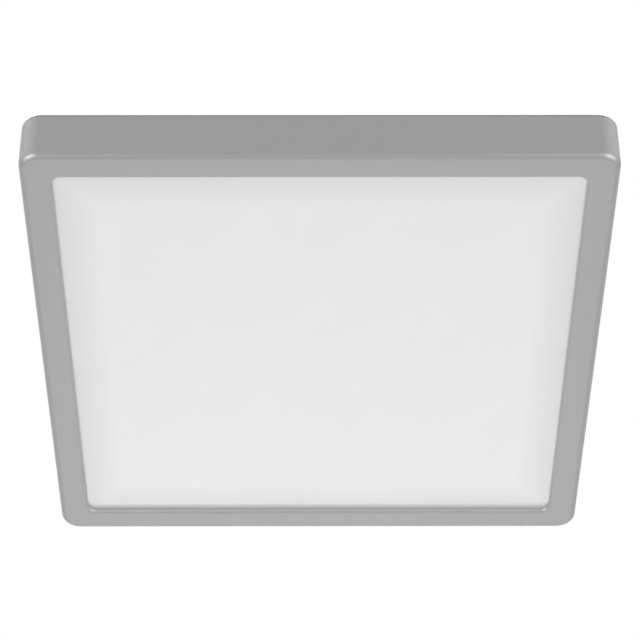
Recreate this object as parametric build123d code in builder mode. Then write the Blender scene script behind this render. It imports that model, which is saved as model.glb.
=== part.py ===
"""Square surface-mounted LED ceiling light.

A moulded frame holds an opal diffuser from the front and is closed behind by a pressed steel pan.
The pan carries the LED boards on its front and the driver, terminal block and spring clips on its back.
The clips snap the whole lamp onto a steel bracket that stays on the ceiling.

Millimetres, +Z up. Z = 0 is the ceiling and X = Y = 0 is the middle of the bracket, so the lamp
hangs at negative heights. Front means towards -Y, and the light leaves towards -Z.
"""
import os
from math import atan2, degrees, pi

from build123d import *

os.makedirs("parts", exist_ok=True)

# Play between pieces
slip = 0.3
running_fit = 0.2
thread_play = 0.05

# Moulded frame, whose wall leans outwards a little towards the ceiling
side = 285.0
wall_draft = 0.5
frame_height = 27.5
ceiling_gap = 0.5
corner_radius = 10.0
front_edge_radius = 3.3
ceiling_edge_radius = 0.6
wall = 2.5
lip_width = 15.3
lip_thickness = 2.5
opening_radius = 4.5
lip_edge_radius = 1.6
boss_radius = 3.2
boss_spread = 90.0
boss_web = 1.6
pilot_spare = 1.3
locating_rib_width = 1.0
locating_rib_height = 2.0

# Opal diffuser
diffuser_thickness = 1.5
diffuser_radius = 6.0

# White reflector ring between the diffuser and the pan
reflector_wall = 1.2
reflector_lean = 7.0
reflector_radius = 5.0

# Rear pan, pressed from one steel sheet
sheet = 0.8
pan_rim = 5.0
pan_gap = 0.4
pan_bend = 1.6
pad_rise = 1.8
pad_landing = 11.4
pad_radius = 3.0
bead_width = 8.0
bead_rise = 1.2
screw_tip_gap = 0.3

# LED boards, one for each quarter of the lamp
board_gap = 1.0
board_margin = 3.0
board_thickness = 1.0
board_radius = 2.0
led_rows = 6
led_length = 3.5
led_width = 2.8
led_height = 0.7
led_window = 2.0
led_window_depth = 0.15
bridge_length = 14.0
bridge_width = 6.0
bridge_height = 2.4
bridge_radius = 1.0
led_connector_length = 9.0
led_connector_width = 8.0
led_connector_height = 3.0
led_connector_edge = 0.5

# Driver case and its board
driver_x = 18.5
driver_length = 96.0
driver_width = 38.0
driver_wall = 1.5
driver_floor = 1.2
driver_lid_thickness = 1.2
driver_radius = 2.5
lid_skirt_depth = 1.5
lid_skirt_wall = 1.0
lid_edge_radius = 0.6
ear_thickness = 1.5
ear_gap = 0.5
vent_count = 9
vent_pitch = 4.0
vent_length = 20.0
vent_width = 1.6
post_radius = 2.0
post_inset = 5.0
pcb_standoff = 0.8
pcb_thickness = 1.2
pcb_clearance = 0.5
part_clearance = 0.3
ceiling_clearance = 1.5

# What stands on the driver's board
transformer_height = 7.6
transformer_length = 16.0
transformer_width = 15.0
transformer_yoke = 2.5
transformer_leg_width = 4.5
transformer_leg_height = 2.6
transformer_core_height = 5.2
winding_radius = 1.0
capacitor_radius = 3.4
capacitor_length = 13.0
capacitor_edge = 0.6
film_capacitor_length = 11.0
film_capacitor_width = 5.0
film_capacitor_height = 6.5
film_capacitor_edge = 0.8
choke_radius = 4.0
choke_core_radius = 2.9
choke_height = 6.5
choke_flange = 1.2
rectifier_length = 8.0
rectifier_width = 6.4
rectifier_height = 2.6
rectifier_chamfer = 0.8
fuse_radius = 1.6
fuse_length = 8.5
fuse_cap = 1.6
fuse_waist = 0.3
connector_length = 7.0
connector_width = 9.0
connector_height = 4.4
connector_edge = 0.55
connector_gap = 1.0

# Terminal block
block_gap = 2.4
terminal_drop = 8.0
terminal_floor = 1.2
terminal_wall = 1.2
pole_width = 7.0
pole_gap = 0.2
pole_depth = 21.0
pole_height = 9.5
pole_wall = 1.0
pole_slope = 2.0
mains_bore_radius = 1.6
mains_funnel_radius = 2.6
mains_bore_length = 6.5
chamber_length = 8.5
chamber_over_wire = 2.4
lead_socket_depth = 3.0
strand_radius = 0.8
button_width = 3.0
button_length = 4.4
button_proud = 1.5
button_flange = 0.5
button_flange_thickness = 0.9
button_tip = 0.9
button_edge = 0.4
clamp_width = 4.4
clamp_thickness = 0.5
clamp_bend = 0.6
clamp_back_height = 2.4
clamp_leaf_rise = 1.0
clamp_leaf_run = 4.2

# Leads
mains_lead_radius = 1.1
led_lead_radius = 0.85
input_inset = 3.0
input_pitch = 4.5
output_inset = 6.0
led_lead_pitch = 2.0
neutral_bend = 8.0
live_bend = 6.0
earth_bend = 8.0
earth_run = 9.0
led_lead_bend = 5.0
led_lead_turn = 2.5
grommet_bore = 2.6
grommet_neck = 4.0
grommet_flange = 5.5
grommet_flange_thickness = 1.0
grommet_hole_play = 0.6

# Earth ring terminal
earth_shift = 29.0
earth_rise = 45.0
lug_radius = 4.5
lug_thickness = 0.8
lug_barrel_length = 7.0
lug_barrel_wall = 0.7
lug_neck = 6.0

# Screws and rivets: radii of shank and head, and height of head
pan_screw_shank = 1.2
pan_screw_head = 2.6
pan_screw_head_height = 1.9
pan_screw_length = 8.5
board_screw_shank = 1.2
board_screw_head = 2.2
board_screw_head_height = 1.5
board_screw_tip = 2.0
ear_screw_shank = 1.3
ear_screw_head = 2.6
ear_screw_head_height = 1.8
earth_screw_shank = 1.9
earth_screw_head = 3.5
earth_screw_head_height = 2.4
rivet_shank = 1.5
rivet_head = 2.6
rivet_head_height = 1.0
rivet_spread = 12.0
rivet_tail_radius = 2.3
rivet_tail = 0.7
rivet_margin = 1.0
head_edge = 0.6

# Ceiling bracket, folded from galvanised strip
bracket_thickness = 1.0
bracket_bend = 2.0
bracket_corner = 3.0
slot_spacing = 120.0
slot_length = 20.0
slot_width = 5.0
slot_end_land = 15.0
cable_hole_length = 34.0
cable_hole_width = 20.0
bracket_bead_end = 20.0
bracket_bead_width = 3.6
bracket_bead_drop = 1.0
bead_inner_land = 1.2
bead_outer_land = 2.2
leg_clearance = 1.0
window_height = 4.0
window_play = 0.5

# Spring clips of the lamp, which snap into the windows of the bracket's legs
clip_width = 12.0
clip_thickness = 0.5
clip_bend = 0.45
clip_gap = 0.3
clip_bite = 0.9
clip_top_gap = 1.5
clip_flare = 1.6
clip_foot_margin = 0.9
clip_pad_inset = 1.2
clip_pad_length = 17.5
clip_pad_width = 22.0

# Heights of the seats
frame_top_z = -ceiling_gap
front_z = frame_top_z - frame_height
ledge_z = front_z + lip_thickness
diffuser_back_z = ledge_z + diffuser_thickness
driver_height = (driver_floor + pcb_standoff + pcb_thickness + transformer_height
                 + part_clearance + driver_lid_thickness)
pan_top_z = -(ceiling_clearance + driver_height)
pan_bottom_z = pan_top_z - sheet
pad_top_z = pan_top_z + pad_rise
board_front_z = pan_bottom_z - board_thickness
driver_rim_z = pan_top_z + driver_height - driver_lid_thickness
pcb_top_z = pan_top_z + driver_floor + pcb_standoff + pcb_thickness
lead_z = pcb_top_z + connector_height / 2
pole_floor_z = pan_top_z + terminal_floor
pole_top_z = pole_floor_z + pole_height
chamber_top_z = lead_z + chamber_over_wire
leg_foot_z = pad_top_z + leg_clearance
window_z = (leg_foot_z - bracket_thickness) / 2

# Places that follow from the sizes above
half_front = side / 2 - wall_draft
half_inside = half_front - wall
half_opening = half_front - lip_width
half_pan = half_inside - pan_gap
boss_line = half_pan - pan_bend - slip - boss_radius
half_diffuser = boss_line - boss_radius - slip
half_reflector_top = half_opening - reflector_lean
board_side = half_reflector_top - board_margin - board_gap / 2
board_middle = (board_side + board_gap) / 2
led_pitch = (board_side + board_gap) / led_rows
board_screw_span = (led_rows - 2) * led_pitch
boss_places = [(s * boss_line, t * boss_spread) for s in (-1, 1) for t in (-1, 1)]
boss_places += [(t * boss_spread, s * boss_line) for s in (-1, 1) for t in (-1, 1)]
lead_hole_x = (led_rows - 1) * led_pitch
lead_hole_y = led_rows // 2 * led_pitch
driver_y = lead_hole_y - driver_width / 2 + driver_wall + output_inset
terminal_y = driver_y - terminal_drop
pad_base = pad_landing + 2 * pad_rise
ear_reach = ear_gap + pad_base / 2
pole_pitch = pole_width + pole_gap
terminal_half = pole_pitch + pole_width / 2 + terminal_wall + running_fit
driver_ear = driver_length / 2 + ear_reach
terminal_ear = terminal_half + ear_reach
terminal_x = driver_x - driver_ear - pad_base - block_gap - terminal_ear
ear_places = [(driver_x - driver_ear, driver_y), (driver_x + driver_ear, driver_y)]
terminal_ear_places = [(terminal_x - terminal_ear, terminal_y), (terminal_x + terminal_ear, terminal_y)]
earth_x = terminal_x - earth_shift
earth_y = terminal_y + earth_rise
bracket_length = slot_spacing + slot_length + 2 * slot_end_land
bracket_width = cable_hole_width + 2 * (bead_inner_land + bracket_bead_width + bead_outer_land)
leg_face = bracket_length / 2
clip_pad_x = leg_face + clip_pad_inset + clip_pad_length / 2
rivet_places = [(s * clip_pad_x, t * rivet_spread / 2) for s in (-1, 1) for t in (-1, 1)]
pole_front_y = terminal_y - pole_depth / 2
pole_back_y = terminal_y + pole_depth / 2
chamber_y = pole_front_y + mains_bore_length + chamber_length / 2


def save(piece, name):
    """Label a finished piece and write it as its own file."""
    piece.part.label = name
    export_step(piece.part, f"parts/{name}.step")


def rounded_ring(outer, inner, outer_radius, inner_radius):
    """A square ring with rounded corners, drawn in the sketch that is open."""
    RectangleRounded(outer, outer, outer_radius)
    RectangleRounded(inner, inner, inner_radius, mode=Mode.SUBTRACT)


def screws(places, head_z, shank, head, head_height, length, up=1):
    """Pan-head screws, heads seated at head_z; up is the side that the heads stand on."""
    with BuildPart() as group:
        with BuildSketch(Plane.XY.offset(head_z)):
            with Locations(*places):
                Circle(head)
        extrude(amount=up * head_height)
        rim = group.edges().filter_by(GeomType.CIRCLE).sort_by(Axis.Z)
        chamfer(rim[-len(places):] if up > 0 else rim[:len(places)], min(head_edge, head_height / 2))
        with BuildSketch(Plane.XY.offset(head_z)):
            with Locations(*places):
                Circle(shank)
        extrude(amount=-up * length)
    return group


# Frame: side wall and flat front lip in one moulding, with screw bosses behind the lip
with BuildPart() as frame:
    with BuildSketch(Plane.XY.offset(front_z)):
        RectangleRounded(2 * half_front, 2 * half_front, corner_radius)
    extrude(amount=frame_height, taper=-degrees(atan2(wall_draft, frame_height)))
    fillet(frame.faces().sort_by(Axis.Z)[0].edges(), front_edge_radius)
    with BuildSketch(Plane.XY.offset(ledge_z)):
        RectangleRounded(2 * half_inside, 2 * half_inside, corner_radius - wall)
    extrude(amount=frame_height, mode=Mode.SUBTRACT)
    with BuildSketch(Plane.XY.offset(front_z)):
        RectangleRounded(2 * half_opening, 2 * half_opening, opening_radius)
    extrude(amount=lip_thickness, mode=Mode.SUBTRACT)
    fillet(frame.faces().sort_by(Axis.Z)[0].inner_wires().edges(), lip_edge_radius)
    fillet(frame.faces().sort_by(Axis.Z)[-1].outer_wire().edges(), ceiling_edge_radius)
    rib_inside = half_diffuser + slip
    rib_outside = rib_inside + locating_rib_width
    with BuildSketch(Plane.XY.offset(ledge_z)):
        rounded_ring(2 * rib_outside, 2 * rib_inside,
                     diffuser_radius + slip + locating_rib_width, diffuser_radius + slip)
    extrude(amount=locating_rib_height)
    web_height = pan_bottom_z - pan_rim - slip - ledge_z
    web_middle = (boss_line + half_inside) / 2
    web_length = half_inside - boss_line
    with BuildSketch(Plane.XY.offset(ledge_z)):
        for s in (-1, 1):
            for t in (-1, 1):
                with Locations((s * web_middle, t * boss_spread)):
                    Rectangle(web_length, boss_web)
                with Locations((t * boss_spread, s * web_middle)):
                    Rectangle(boss_web, web_length)
    extrude(amount=web_height)
    with BuildSketch(Plane.XY.offset(ledge_z)):
        with Locations(*boss_places):
            Circle(boss_radius)
    extrude(amount=pan_bottom_z - ledge_z)
    with BuildSketch(Plane.XY.offset(pan_bottom_z)):
        with Locations(*boss_places):
            Circle(pan_screw_shank + thread_play)
    extrude(amount=-(pan_screw_length - sheet + pilot_spare), mode=Mode.SUBTRACT)
save(frame, "frame")

# Diffuser: a flat plate that lies on the lip from behind, inside the locating rib
with BuildPart() as diffuser:
    with BuildSketch(Plane.XY.offset(ledge_z)):
        RectangleRounded(2 * half_diffuser, 2 * half_diffuser, diffuser_radius)
    extrude(amount=diffuser_thickness)
save(diffuser, "diffuser")

# Reflector ring: a white sloping wall from the diffuser's rim up to the pan
with BuildPart() as reflector_ring:
    for grow, mode in ((reflector_wall, Mode.ADD), (0, Mode.SUBTRACT)):
        with BuildSketch(Plane.XY.offset(diffuser_back_z)):
            foot = 2 * (half_opening + grow)
            RectangleRounded(foot, foot, reflector_radius + grow)
        with BuildSketch(Plane.XY.offset(pan_bottom_z)):
            head = 2 * (half_reflector_top + grow)
            RectangleRounded(head, head, reflector_radius + grow)
        loft(ruled=True, mode=mode)
    with BuildSketch(Plane.XY.offset(diffuser_back_z)):
        rounded_ring(2 * half_diffuser, 2 * half_opening, diffuser_radius, reflector_radius)
    extrude(amount=reflector_wall)
save(reflector_ring, "reflector_ring")

# Rear pan: pressed sheet with a turned-down rim, raised pads under every fixing and stiffening beads
clip_pads = [(-clip_pad_x, 0), (clip_pad_x, 0)]
square_pads = ear_places + terminal_ear_places + [(earth_x, earth_y)]
bead_length = (led_rows + 2) * led_pitch
bead_rows = [-led_rows, led_rows] + [-row for row in range(2, led_rows - 1)]
bead_lines = [(0, row * led_pitch) for row in bead_rows]
board_screw_places = []
for s in (-1, 1):
    for t in (-1, 1):
        for across in (led_pitch, (led_rows - 1) * led_pitch):
            for along in (led_pitch, (led_rows - 1) * led_pitch):
                board_screw_places.append((s * across, t * along))


def raised_places(thin):
    """Outlines of the pan's pads, less the sheet where the hollow side is drawn."""
    with Locations(*square_pads):
        RectangleRounded(pad_base - thin, pad_base - thin, pad_radius)
    with Locations(*clip_pads):
        RectangleRounded(clip_pad_length + 2 * pad_rise - thin,
                         clip_pad_width + 2 * pad_rise - thin,
                         pad_radius)


with BuildPart() as rear_pan:
    with BuildSketch(Plane.XY.offset(pan_top_z)):
        RectangleRounded(2 * half_pan, 2 * half_pan, corner_radius - wall - pan_gap)
    extrude(amount=-(sheet + pan_rim))
    fillet(rear_pan.faces().sort_by(Axis.Z)[-1].edges(), pan_bend)
    half_hollow = half_pan - sheet
    with BuildSketch(Plane.XY.offset(pan_bottom_z)):
        RectangleRounded(2 * half_hollow, 2 * half_hollow, corner_radius - wall - pan_gap - sheet)
    extrude(amount=-pan_rim, mode=Mode.SUBTRACT)
    inner_bend = rear_pan.faces().filter_by(Axis.Z).filter_by_position(Axis.Z, pan_bottom_z, pan_bottom_z)
    fillet(inner_bend.edges(), pan_bend - sheet)
    with BuildSketch(Plane.XY.offset(pan_top_z)):
        raised_places(0)
    extrude(amount=pad_rise, taper=45)
    with BuildSketch(Plane.XY.offset(pan_bottom_z)):
        raised_places(sheet)
    extrude(amount=pad_rise, taper=45, mode=Mode.SUBTRACT)
    with BuildSketch(Plane.XY.offset(pan_top_z)):
        with Locations(*bead_lines):
            SlotOverall(bead_length, bead_width)
    extrude(amount=bead_rise, taper=45)
    with BuildSketch(Plane.XY.offset(pan_bottom_z)):
        with Locations(*bead_lines):
            SlotOverall(bead_length - sheet, bead_width - sheet)
    extrude(amount=bead_rise, taper=45, mode=Mode.SUBTRACT)
    with BuildSketch(Plane.XY.offset(pad_top_z)):
        with Locations(*boss_places):
            Circle(pan_screw_shank + running_fit)
        with Locations(*board_screw_places):
            Circle(board_screw_shank + thread_play)
        with Locations(*ear_places, *terminal_ear_places):
            Circle(ear_screw_shank + thread_play)
        with Locations((earth_x, earth_y)):
            Circle(earth_screw_shank + thread_play)
        with Locations(*rivet_places):
            Circle(rivet_shank + thread_play)
        with Locations((lead_hole_x, lead_hole_y)):
            Circle(grommet_neck)
    extrude(amount=-(pad_rise + sheet), mode=Mode.SUBTRACT)
save(rear_pan, "rear_pan")
save(screws(boss_places, pan_top_z, pan_screw_shank, pan_screw_head, pan_screw_head_height,
            pan_screw_length), "pan_screws")

# LED boards: four square boards under the pan, each with a grid of LEDs and four screws
quarters = {"front_left": (-1, -1), "front_right": (1, -1), "rear_left": (-1, 1), "rear_right": (1, 1)}
for quarter, (x_side, y_side) in quarters.items():
    middle = (x_side * board_middle, y_side * board_middle)
    with BuildPart() as led_board:
        with BuildSketch(Plane.XY.offset(pan_bottom_z)):
            with Locations(middle):
                RectangleRounded(board_side, board_side, board_radius)
                with GridLocations(board_screw_span, board_screw_span, 2, 2):
                    Circle(board_screw_shank + running_fit, mode=Mode.SUBTRACT)
            with Locations((lead_hole_x, lead_hole_y)):
                Circle(grommet_flange + grommet_hole_play, mode=Mode.SUBTRACT)
        extrude(amount=-board_thickness)
    save(led_board, f"led_board_{quarter}")
    with BuildPart() as leds:
        with BuildSketch(Plane.XY.offset(board_front_z)):
            with Locations(middle):
                with GridLocations(led_pitch, led_pitch, led_rows, led_rows):
                    Rectangle(led_length, led_width)
        extrude(amount=-led_height)
        with BuildSketch(Plane.XY.offset(board_front_z - led_height)):
            with Locations(middle):
                with GridLocations(led_pitch, led_pitch, led_rows, led_rows):
                    Rectangle(led_window, led_window)
        extrude(amount=led_window_depth, mode=Mode.SUBTRACT)
    save(leds, f"leds_{quarter}")

save(screws(board_screw_places, board_front_z, board_screw_shank, board_screw_head,
            board_screw_head_height, board_thickness + sheet + board_screw_tip, up=-1), "board_screws")

# Board bridges: plug-in links across the gaps between neighbouring boards
with BuildPart() as board_bridges:
    with BuildSketch(Plane.XY.offset(board_front_z)):
        with Locations((0, -2 * led_pitch), (0, 2 * led_pitch)):
            RectangleRounded(bridge_length, bridge_width, bridge_radius)
        with Locations((2 * led_pitch, 0)):
            RectangleRounded(bridge_width, bridge_length, bridge_radius)
    extrude(amount=-bridge_height)
save(board_bridges, "board_bridges")

# LED connector: two-wire plug on the board where the driver's leads come through the pan
led_connector_end = lead_hole_x - led_lead_turn - connector_gap
led_lead_rows = [lead_hole_y - led_lead_pitch / 2, lead_hole_y + led_lead_pitch / 2]
led_lead_front_z = board_front_z - led_connector_height / 2
with BuildPart() as led_connector:
    with BuildSketch(Plane.XY.offset(board_front_z)):
        with Locations((led_connector_end - led_connector_length / 2, lead_hole_y)):
            Rectangle(led_connector_length, led_connector_width)
    extrude(amount=-led_connector_height)
    chamfer(led_connector.faces().sort_by(Axis.Z)[0].edges(), led_connector_edge)
save(led_connector, "led_connector")

# Lead grommet: rubber ring in the pan's lead hole
with BuildPart() as lead_grommet:
    with BuildSketch(Plane.XZ.offset(-lead_hole_y)):
        with BuildLine():
            low_z = pan_bottom_z - grommet_flange_thickness
            high_z = pan_top_z + grommet_flange_thickness
            Polyline((lead_hole_x + grommet_bore, low_z),
                     (lead_hole_x + grommet_flange, low_z),
                     (lead_hole_x + grommet_flange, pan_bottom_z),
                     (lead_hole_x + grommet_neck, pan_bottom_z),
                     (lead_hole_x + grommet_neck, pan_top_z),
                     (lead_hole_x + grommet_flange, pan_top_z),
                     (lead_hole_x + grommet_flange, high_z),
                     (lead_hole_x + grommet_bore, high_z),
                     close=True)
        make_face()
    revolve(axis=Axis((lead_hole_x, lead_hole_y, 0), (0, 0, 1)))
save(lead_grommet, "lead_grommet")

# Driver base: tray with posts for the board, an ear at each end and holes for the leads
driver_middle = (driver_x, driver_y)
driver_inside = (driver_length - 2 * driver_wall, driver_width - 2 * driver_wall)
driver_inner_radius = driver_radius - driver_wall
driver_left = driver_x - driver_length / 2
driver_right = driver_x + driver_length / 2
neutral_row = driver_y + driver_width / 2 - driver_wall - input_inset
input_rows = [neutral_row - input_pitch, neutral_row]
pcb_size = (driver_inside[0] - 2 * pcb_clearance, driver_inside[1] - 2 * pcb_clearance)

with BuildPart() as driver_base:
    with BuildSketch(Plane.XY.offset(pan_top_z)):
        with Locations(driver_middle):
            RectangleRounded(driver_length, driver_width, driver_radius)
    extrude(amount=driver_rim_z - pan_top_z)
    with BuildSketch(Plane.XY.offset(pad_top_z)):
        with Locations(*ear_places):
            Circle(pad_landing / 2)
        for side_sign in (-1, 1):
            with Locations((driver_x + side_sign * (driver_length + ear_reach) / 2, driver_y)):
                Rectangle(ear_reach, pad_landing)
    extrude(amount=ear_thickness)
    with BuildSketch(Plane.XY.offset(pan_top_z + driver_floor)):
        with Locations(driver_middle):
            RectangleRounded(*driver_inside, driver_inner_radius)
    extrude(amount=driver_height, mode=Mode.SUBTRACT)
    with BuildSketch(Plane.XY.offset(pan_top_z + driver_floor)):
        with Locations(driver_middle):
            with GridLocations(pcb_size[0] - 2 * post_inset, pcb_size[1] - 2 * post_inset, 2, 2):
                Circle(post_radius)
    extrude(amount=pcb_standoff)
    with BuildSketch(Plane.XY.offset(pad_top_z)):
        with Locations(*ear_places):
            Circle(ear_screw_shank + running_fit)
    extrude(amount=ear_thickness, mode=Mode.SUBTRACT)
    with BuildSketch(Plane.YZ.offset(driver_left)):
        with Locations(*[(row, lead_z) for row in input_rows]):
            Circle(mains_lead_radius + running_fit)
    extrude(amount=driver_wall, mode=Mode.SUBTRACT)
    with BuildSketch(Plane.YZ.offset(driver_right)):
        with Locations((lead_hole_y, lead_z)):
            lead_way = 2 * (led_lead_radius + running_fit)
            SlotOverall(led_lead_pitch + lead_way, lead_way)
    extrude(amount=-driver_wall, mode=Mode.SUBTRACT)
save(driver_base, "driver_base")

# Driver lid: flat cover with a skirt that drops inside the tray, slotted over the transformer
with BuildPart() as driver_lid:
    with BuildSketch(Plane.XY.offset(driver_rim_z)):
        with Locations(driver_middle):
            RectangleRounded(driver_length, driver_width, driver_radius)
    extrude(amount=driver_lid_thickness)
    fillet(driver_lid.faces().sort_by(Axis.Z)[-1].edges(), min(lid_edge_radius, driver_lid_thickness / 2))
    skirt = (driver_inside[0] - 2 * running_fit, driver_inside[1] - 2 * running_fit)
    with BuildSketch(Plane.XY.offset(driver_rim_z)):
        with Locations(driver_middle):
            RectangleRounded(*skirt, driver_inner_radius)
            Rectangle(skirt[0] - 2 * lid_skirt_wall, skirt[1] - 2 * lid_skirt_wall, mode=Mode.SUBTRACT)
    extrude(amount=-lid_skirt_depth)
    with BuildSketch(Plane.XY.offset(driver_rim_z)):
        with Locations(driver_middle):
            with GridLocations(vent_pitch, 0, vent_count, 1):
                SlotOverall(vent_length, vent_width, rotation=90)
    extrude(amount=driver_lid_thickness, mode=Mode.SUBTRACT)
save(driver_lid, "driver_lid")
ear_screw = (ear_screw_shank, ear_screw_head, ear_screw_head_height,
             ear_thickness + pad_rise + sheet - screw_tip_gap)
save(screws(ear_places, pad_top_z + ear_thickness, *ear_screw), "driver_screws")

# Driver board and what stands on it, from the mains side at -X to the LED side at +X
with BuildPart() as driver_pcb:
    with BuildSketch(Plane.XY.offset(pcb_top_z)):
        with Locations(driver_middle):
            RectangleRounded(*pcb_size, driver_inner_radius)
    extrude(amount=-pcb_thickness)
save(driver_pcb, "driver_pcb")

input_face_x = driver_left + driver_wall + connector_gap
output_face_x = driver_right - driver_wall - connector_gap
core_low_z = pcb_top_z + (transformer_height - transformer_core_height) / 2
leg_low_z = pcb_top_z + (transformer_height - transformer_leg_height) / 2
winding_length = transformer_length - 2 * transformer_yoke
with BuildPart() as transformer_core:
    with BuildSketch(Plane.XY.offset(core_low_z)):
        with Locations(driver_middle):
            Rectangle(transformer_length, transformer_width)
            Rectangle(winding_length, transformer_width - 2 * transformer_yoke, mode=Mode.SUBTRACT)
    extrude(amount=transformer_core_height)
    with BuildSketch(Plane.XY.offset(leg_low_z)):
        with Locations(driver_middle):
            Rectangle(transformer_length, transformer_leg_width)
    extrude(amount=transformer_leg_height)
save(transformer_core, "transformer_core")

with BuildPart() as transformer_winding:
    winding_width = transformer_width - 2 * transformer_yoke - 2 * running_fit
    with BuildSketch(Plane.YZ.offset(driver_x - winding_length / 2)):
        with Locations((driver_y, pcb_top_z + transformer_height / 2)):
            RectangleRounded(winding_width, transformer_height, winding_radius)
            Rectangle(transformer_leg_width, transformer_leg_height, mode=Mode.SUBTRACT)
    extrude(amount=winding_length)
save(transformer_winding, "transformer_winding")

capacitor_gap = transformer_length / 2 + capacitor_length / 2 + connector_gap
capacitor_row = driver_y - driver_inside[1] / 4
with BuildPart() as electrolytic_capacitors:
    for side_sign in (-1, 1):
        start = driver_x + side_sign * capacitor_gap - capacitor_length / 2
        with BuildSketch(Plane.YZ.offset(start)):
            with Locations((capacitor_row, pcb_top_z + capacitor_radius)):
                Circle(capacitor_radius)
        extrude(amount=capacitor_length)
    chamfer(electrolytic_capacitors.edges().filter_by(GeomType.CIRCLE), capacitor_edge)
save(electrolytic_capacitors, "electrolytic_capacitors")

with BuildPart() as film_capacitor:
    with BuildSketch(Plane.XY.offset(pcb_top_z)):
        with Locations((driver_x - capacitor_gap, driver_y + driver_inside[1] / 8)):
            Rectangle(film_capacitor_length, film_capacitor_width)
    extrude(amount=film_capacitor_height)
    fillet(film_capacitor.edges().filter_by(Axis.Z), film_capacitor_edge)
save(film_capacitor, "film_capacitor")

with BuildPart() as choke:
    choke_x = driver_x + capacitor_gap
    choke_y = driver_y + driver_inside[1] / 8
    with BuildSketch(Plane.XZ.offset(-choke_y)):
        with BuildLine():
            waist_low_z = pcb_top_z + choke_flange
            waist_high_z = pcb_top_z + choke_height - choke_flange
            Polyline((choke_x, pcb_top_z),
                     (choke_x + choke_radius, pcb_top_z),
                     (choke_x + choke_radius, waist_low_z),
                     (choke_x + choke_core_radius, waist_low_z),
                     (choke_x + choke_core_radius, waist_high_z),
                     (choke_x + choke_radius, waist_high_z),
                     (choke_x + choke_radius, pcb_top_z + choke_height),
                     (choke_x, pcb_top_z + choke_height),
                     close=True)
        make_face()
    revolve(axis=Axis((choke_x, choke_y, 0), (0, 0, 1)))
save(choke, "choke")

with BuildPart() as rectifier:
    rectifier_x = input_face_x + rectifier_length / 2
    with BuildSketch(Plane.XY.offset(pcb_top_z)):
        with Locations((rectifier_x, driver_y)):
            Rectangle(rectifier_length, rectifier_width)
    extrude(amount=rectifier_height)
    chamfer(rectifier.faces().sort_by(Axis.Z)[-1].edges(), rectifier_chamfer)
save(rectifier, "rectifier")

with BuildPart() as fuse:
    with BuildSketch(Plane.XY.offset(pcb_top_z + fuse_radius)):
        with BuildLine():
            fuse_x = input_face_x
            Polyline((fuse_x, capacitor_row),
                     (fuse_x, capacitor_row + fuse_radius),
                     (fuse_x + fuse_cap, capacitor_row + fuse_radius),
                     (fuse_x + fuse_cap, capacitor_row + fuse_radius - fuse_waist),
                     (fuse_x + fuse_length - fuse_cap, capacitor_row + fuse_radius - fuse_waist),
                     (fuse_x + fuse_length - fuse_cap, capacitor_row + fuse_radius),
                     (fuse_x + fuse_length, capacitor_row + fuse_radius),
                     (fuse_x + fuse_length, capacitor_row),
                     close=True)
        make_face()
    revolve(axis=Axis((fuse_x, capacitor_row, pcb_top_z + fuse_radius), (1, 0, 0)))
save(fuse, "fuse")


def driver_plug(x, y, name):
    """Two-wire connector on the driver's board."""
    with BuildPart() as plug:
        with BuildSketch(Plane.XY.offset(pcb_top_z)):
            with Locations((x, y)):
                Rectangle(connector_length, connector_width)
        extrude(amount=connector_height)
        fillet(plug.edges().filter_by(Axis.Z), connector_edge)
    save(plug, name)


driver_plug(input_face_x + connector_length / 2, sum(input_rows) / 2, "driver_input_plug")
driver_plug(output_face_x - connector_length / 2, lead_hole_y, "driver_output_plug")

# Terminal base: carrier with low end walls and an ear at each end
with BuildPart() as terminal_base:
    with BuildSketch(Plane.XY.offset(pan_top_z)):
        with Locations((terminal_x, terminal_y)):
            Rectangle(2 * terminal_half, pole_depth)
    extrude(amount=pad_rise + ear_thickness)
    with BuildSketch(Plane.XY.offset(pole_floor_z)):
        with Locations((terminal_x, terminal_y)):
            Rectangle(2 * (terminal_half - terminal_wall), pole_depth)
    extrude(amount=pole_height, mode=Mode.SUBTRACT)
    with BuildSketch(Plane.XY.offset(pad_top_z)):
        with Locations(*terminal_ear_places):
            Circle(pad_landing / 2)
        for side_sign in (-1, 1):
            with Locations((terminal_x + side_sign * (terminal_half + ear_reach / 2), terminal_y)):
                Rectangle(ear_reach, pad_landing)
        with Locations(*terminal_ear_places):
            Circle(ear_screw_shank + running_fit, mode=Mode.SUBTRACT)
    extrude(amount=ear_thickness)
save(terminal_base, "terminal_base")
save(screws(terminal_ear_places, pad_top_z + ear_thickness, *ear_screw), "terminal_screws")


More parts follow.
